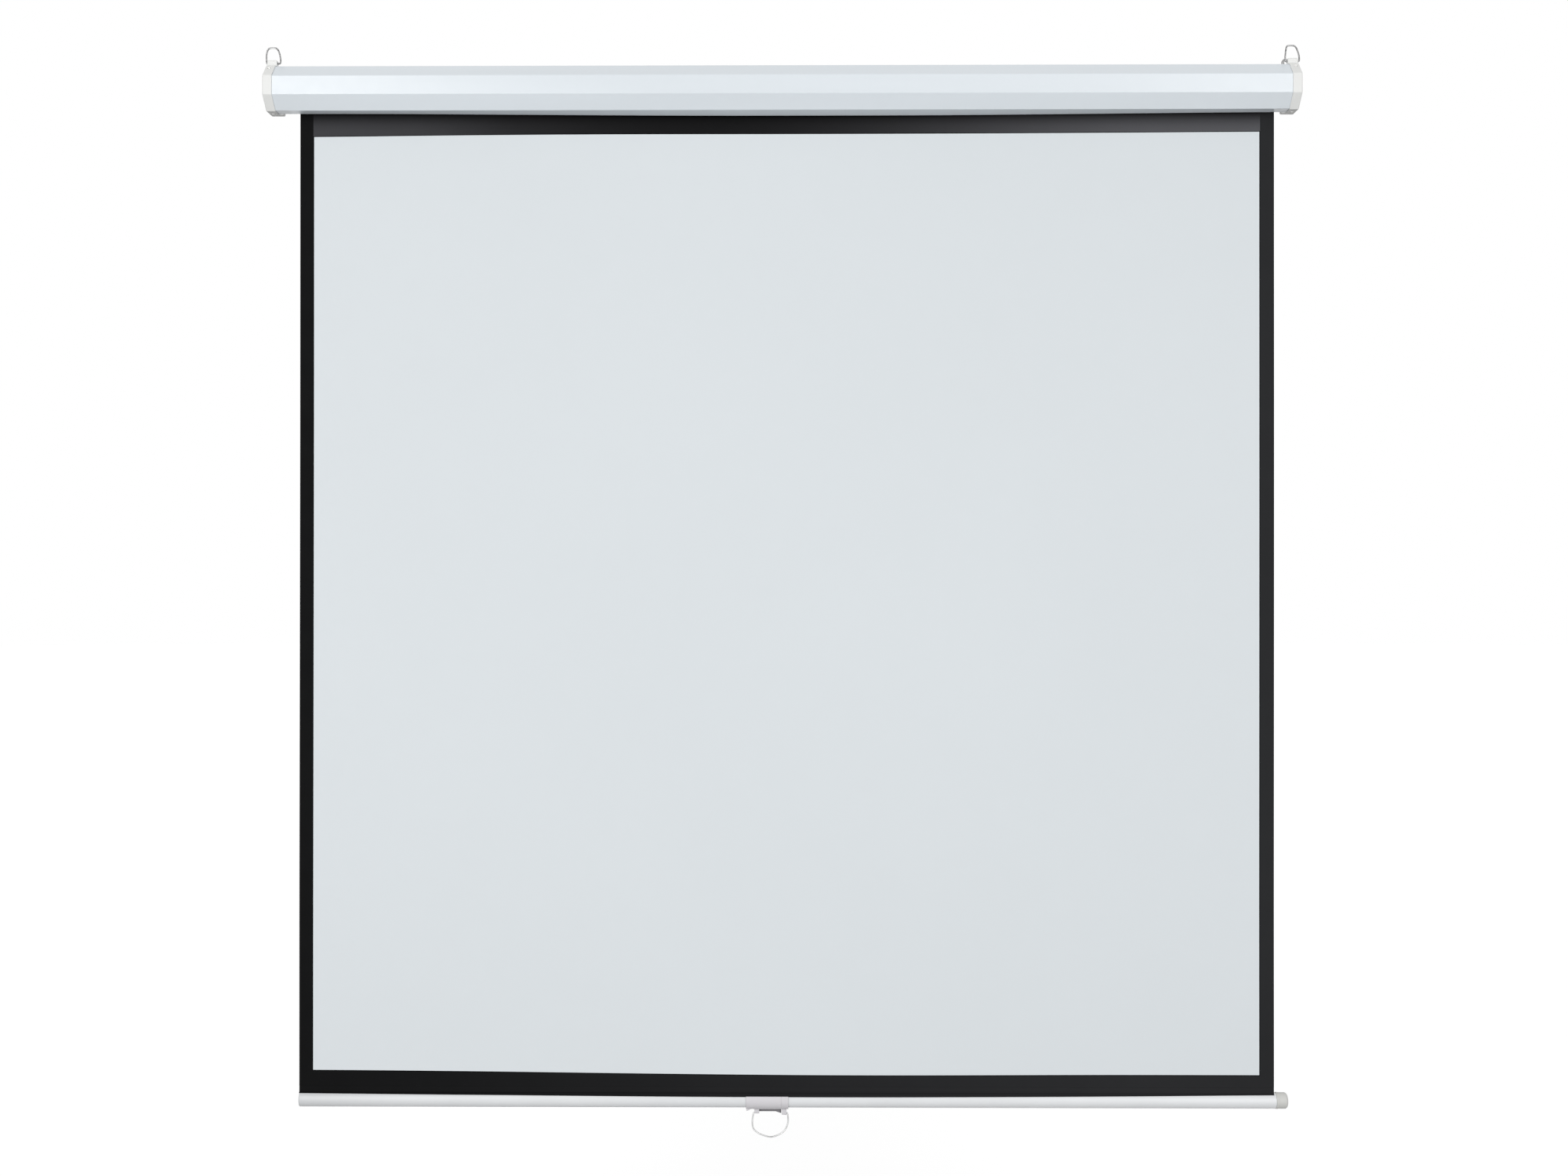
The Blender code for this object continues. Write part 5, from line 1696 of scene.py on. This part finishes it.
# The studio: camera, lamps, world and floor


@dataclass
class Studio:
    """The photograph's viewpoint, in soft even light on white."""

    lens: float = 40.0
    sensor: float = 36.0
    eye: tuple[float, float, float] = (0.0240, -2.7046, -0.7633)
    turn: float = 0.43
    sight: tuple[float, float] = (0.05, 60.0)
    ambient: float = 0.54
    aim: tuple[float, float, float] = (0.0, 0.0, -0.75)
    lamp_place: tuple[float, float, float] = (1.75, -3.1, -0.40)
    lamp_size: tuple[float, float] = (1.0, 3.2)
    left_power: float = 51.5
    right_power: float = 41.5
    floor_z: float = -2.05
    floor_size: float = 40.0
    floor_tone: float = 0.44
    floor_glow: float = 0.75

    def camera(self) -> None:
        """Set the level camera, turned slightly left."""
        data = bpy.data.cameras.new("photo_camera")
        data.lens, data.sensor_width = self.lens, self.sensor
        data.clip_start, data.clip_end = self.sight
        camera = bpy.data.objects.new("photo_camera", data)
        camera.location = self.eye
        camera.rotation_euler = (math.pi / 2, 0.0, math.radians(self.turn))
        bpy.context.scene.collection.objects.link(camera)
        bpy.context.scene.camera = camera

    def lamp(self, name: str, side: Side, power: float) -> None:
        """Set a tall soft box on one side, turned to the sheet.

        Args:
            name: The lamp's name.
            side: The side it stands on.
            power: Its power in watts.
        """
        data = bpy.data.lights.new(name, "AREA")
        data.shape, data.energy = "RECTANGLE", power
        data.size, data.size_y = self.lamp_size
        lamp = bpy.data.objects.new(name, data)
        place = Vector(self.lamp_place) * Vector((side.value, 1.0, 1.0))
        lamp.location = place
        lamp.rotation_euler = (Vector(self.aim) - place).to_track_quat("-Z", "Y").to_euler()
        bpy.context.scene.collection.objects.link(lamp)

    def world(self) -> None:
        """White to the camera and to reflections, and a plain dimmer level for the light it gives."""
        world = bpy.data.worlds.new("studio_white")
        world.use_nodes = True
        g = Graph(world.node_tree)
        rays = g.node("LightPath").outputs
        seen = g.maths("MAXIMUM", rays["Is Camera Ray"], rays["Is Transmission Ray"])
        level = g.spread(g.maths("MAXIMUM", seen, rays["Is Glossy Ray"]), self.ambient, 1.0, 0.0, 1.0)
        background = g.nodes["Background"]
        g.feed(background.inputs["Strength"], level)
        g.feed(background.inputs["Color"], (1.0, 1.0, 1.0, 1.0))
        bpy.context.scene.world = world

    def floor(self) -> None:
        """A wide pale floor, which keeps shadows and reads as white where none falls."""
        ring = np.concatenate([[0.0], np.geomspace(0.5, self.floor_size, 12)])[:, None]
        a = round_turn(48)
        points = np.stack(np.broadcast_arrays(ring * np.cos(a), ring * np.sin(a), self.floor_z), -1)
        floor = make_piece("studio_floor", points, grid_quads(*points.shape[:2], wrap_cols=True))
        if floor.data.polygons[0].normal.z < 0:
            floor.data.flip_normals()
        r = Recipe("floor_paper", (self.floor_tone,) * 3, 0.9)
        r.set("Specular IOR Level", 0.1)
        r.shade(r.noise(r.place(), 3.0), 0.005)
        rays = r.node("LightPath").outputs
        seen = r.maths("MAXIMUM", rays["Is Camera Ray"], rays["Is Glossy Ray"])
        dark, glow = (r.node("Emission", {"Strength": power}).outputs[0] for power in (0.0, self.floor_glow))
        pick = r.node("MixShader", {0: seen, 1: dark, 2: glow}).outputs[0]
        both = r.node("AddShader", {0: r.shader.outputs[0], 1: pick}).outputs[0]
        r.feed(r.nodes["Material Output"].inputs["Surface"], both)
        dress(floor, r.material)

    def build(self) -> None:
        """Set up the whole studio."""
        bpy.context.scene.view_settings.view_transform = "Standard"
        self.camera()
        self.world()
        self.floor()
        self.lamp("soft_box_left", Side.LEFT, self.left_power)
        self.lamp("soft_box_right", Side.RIGHT, self.right_power)


def main() -> None:
    """Build the studio and each sub-assembly in order."""
    logging.basicConfig(level=logging.INFO, format="%(message)s")
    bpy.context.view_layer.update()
    Studio().build()
    for assembly in (Housing(), HangingRings(), RollerWorks(), ScreenSheet(), WeightBar()):
        assembly.build()
        log.info("%s built", type(assembly).__name__)
    bpy.context.view_layer.update()


if __name__ == "__main__":
    main()
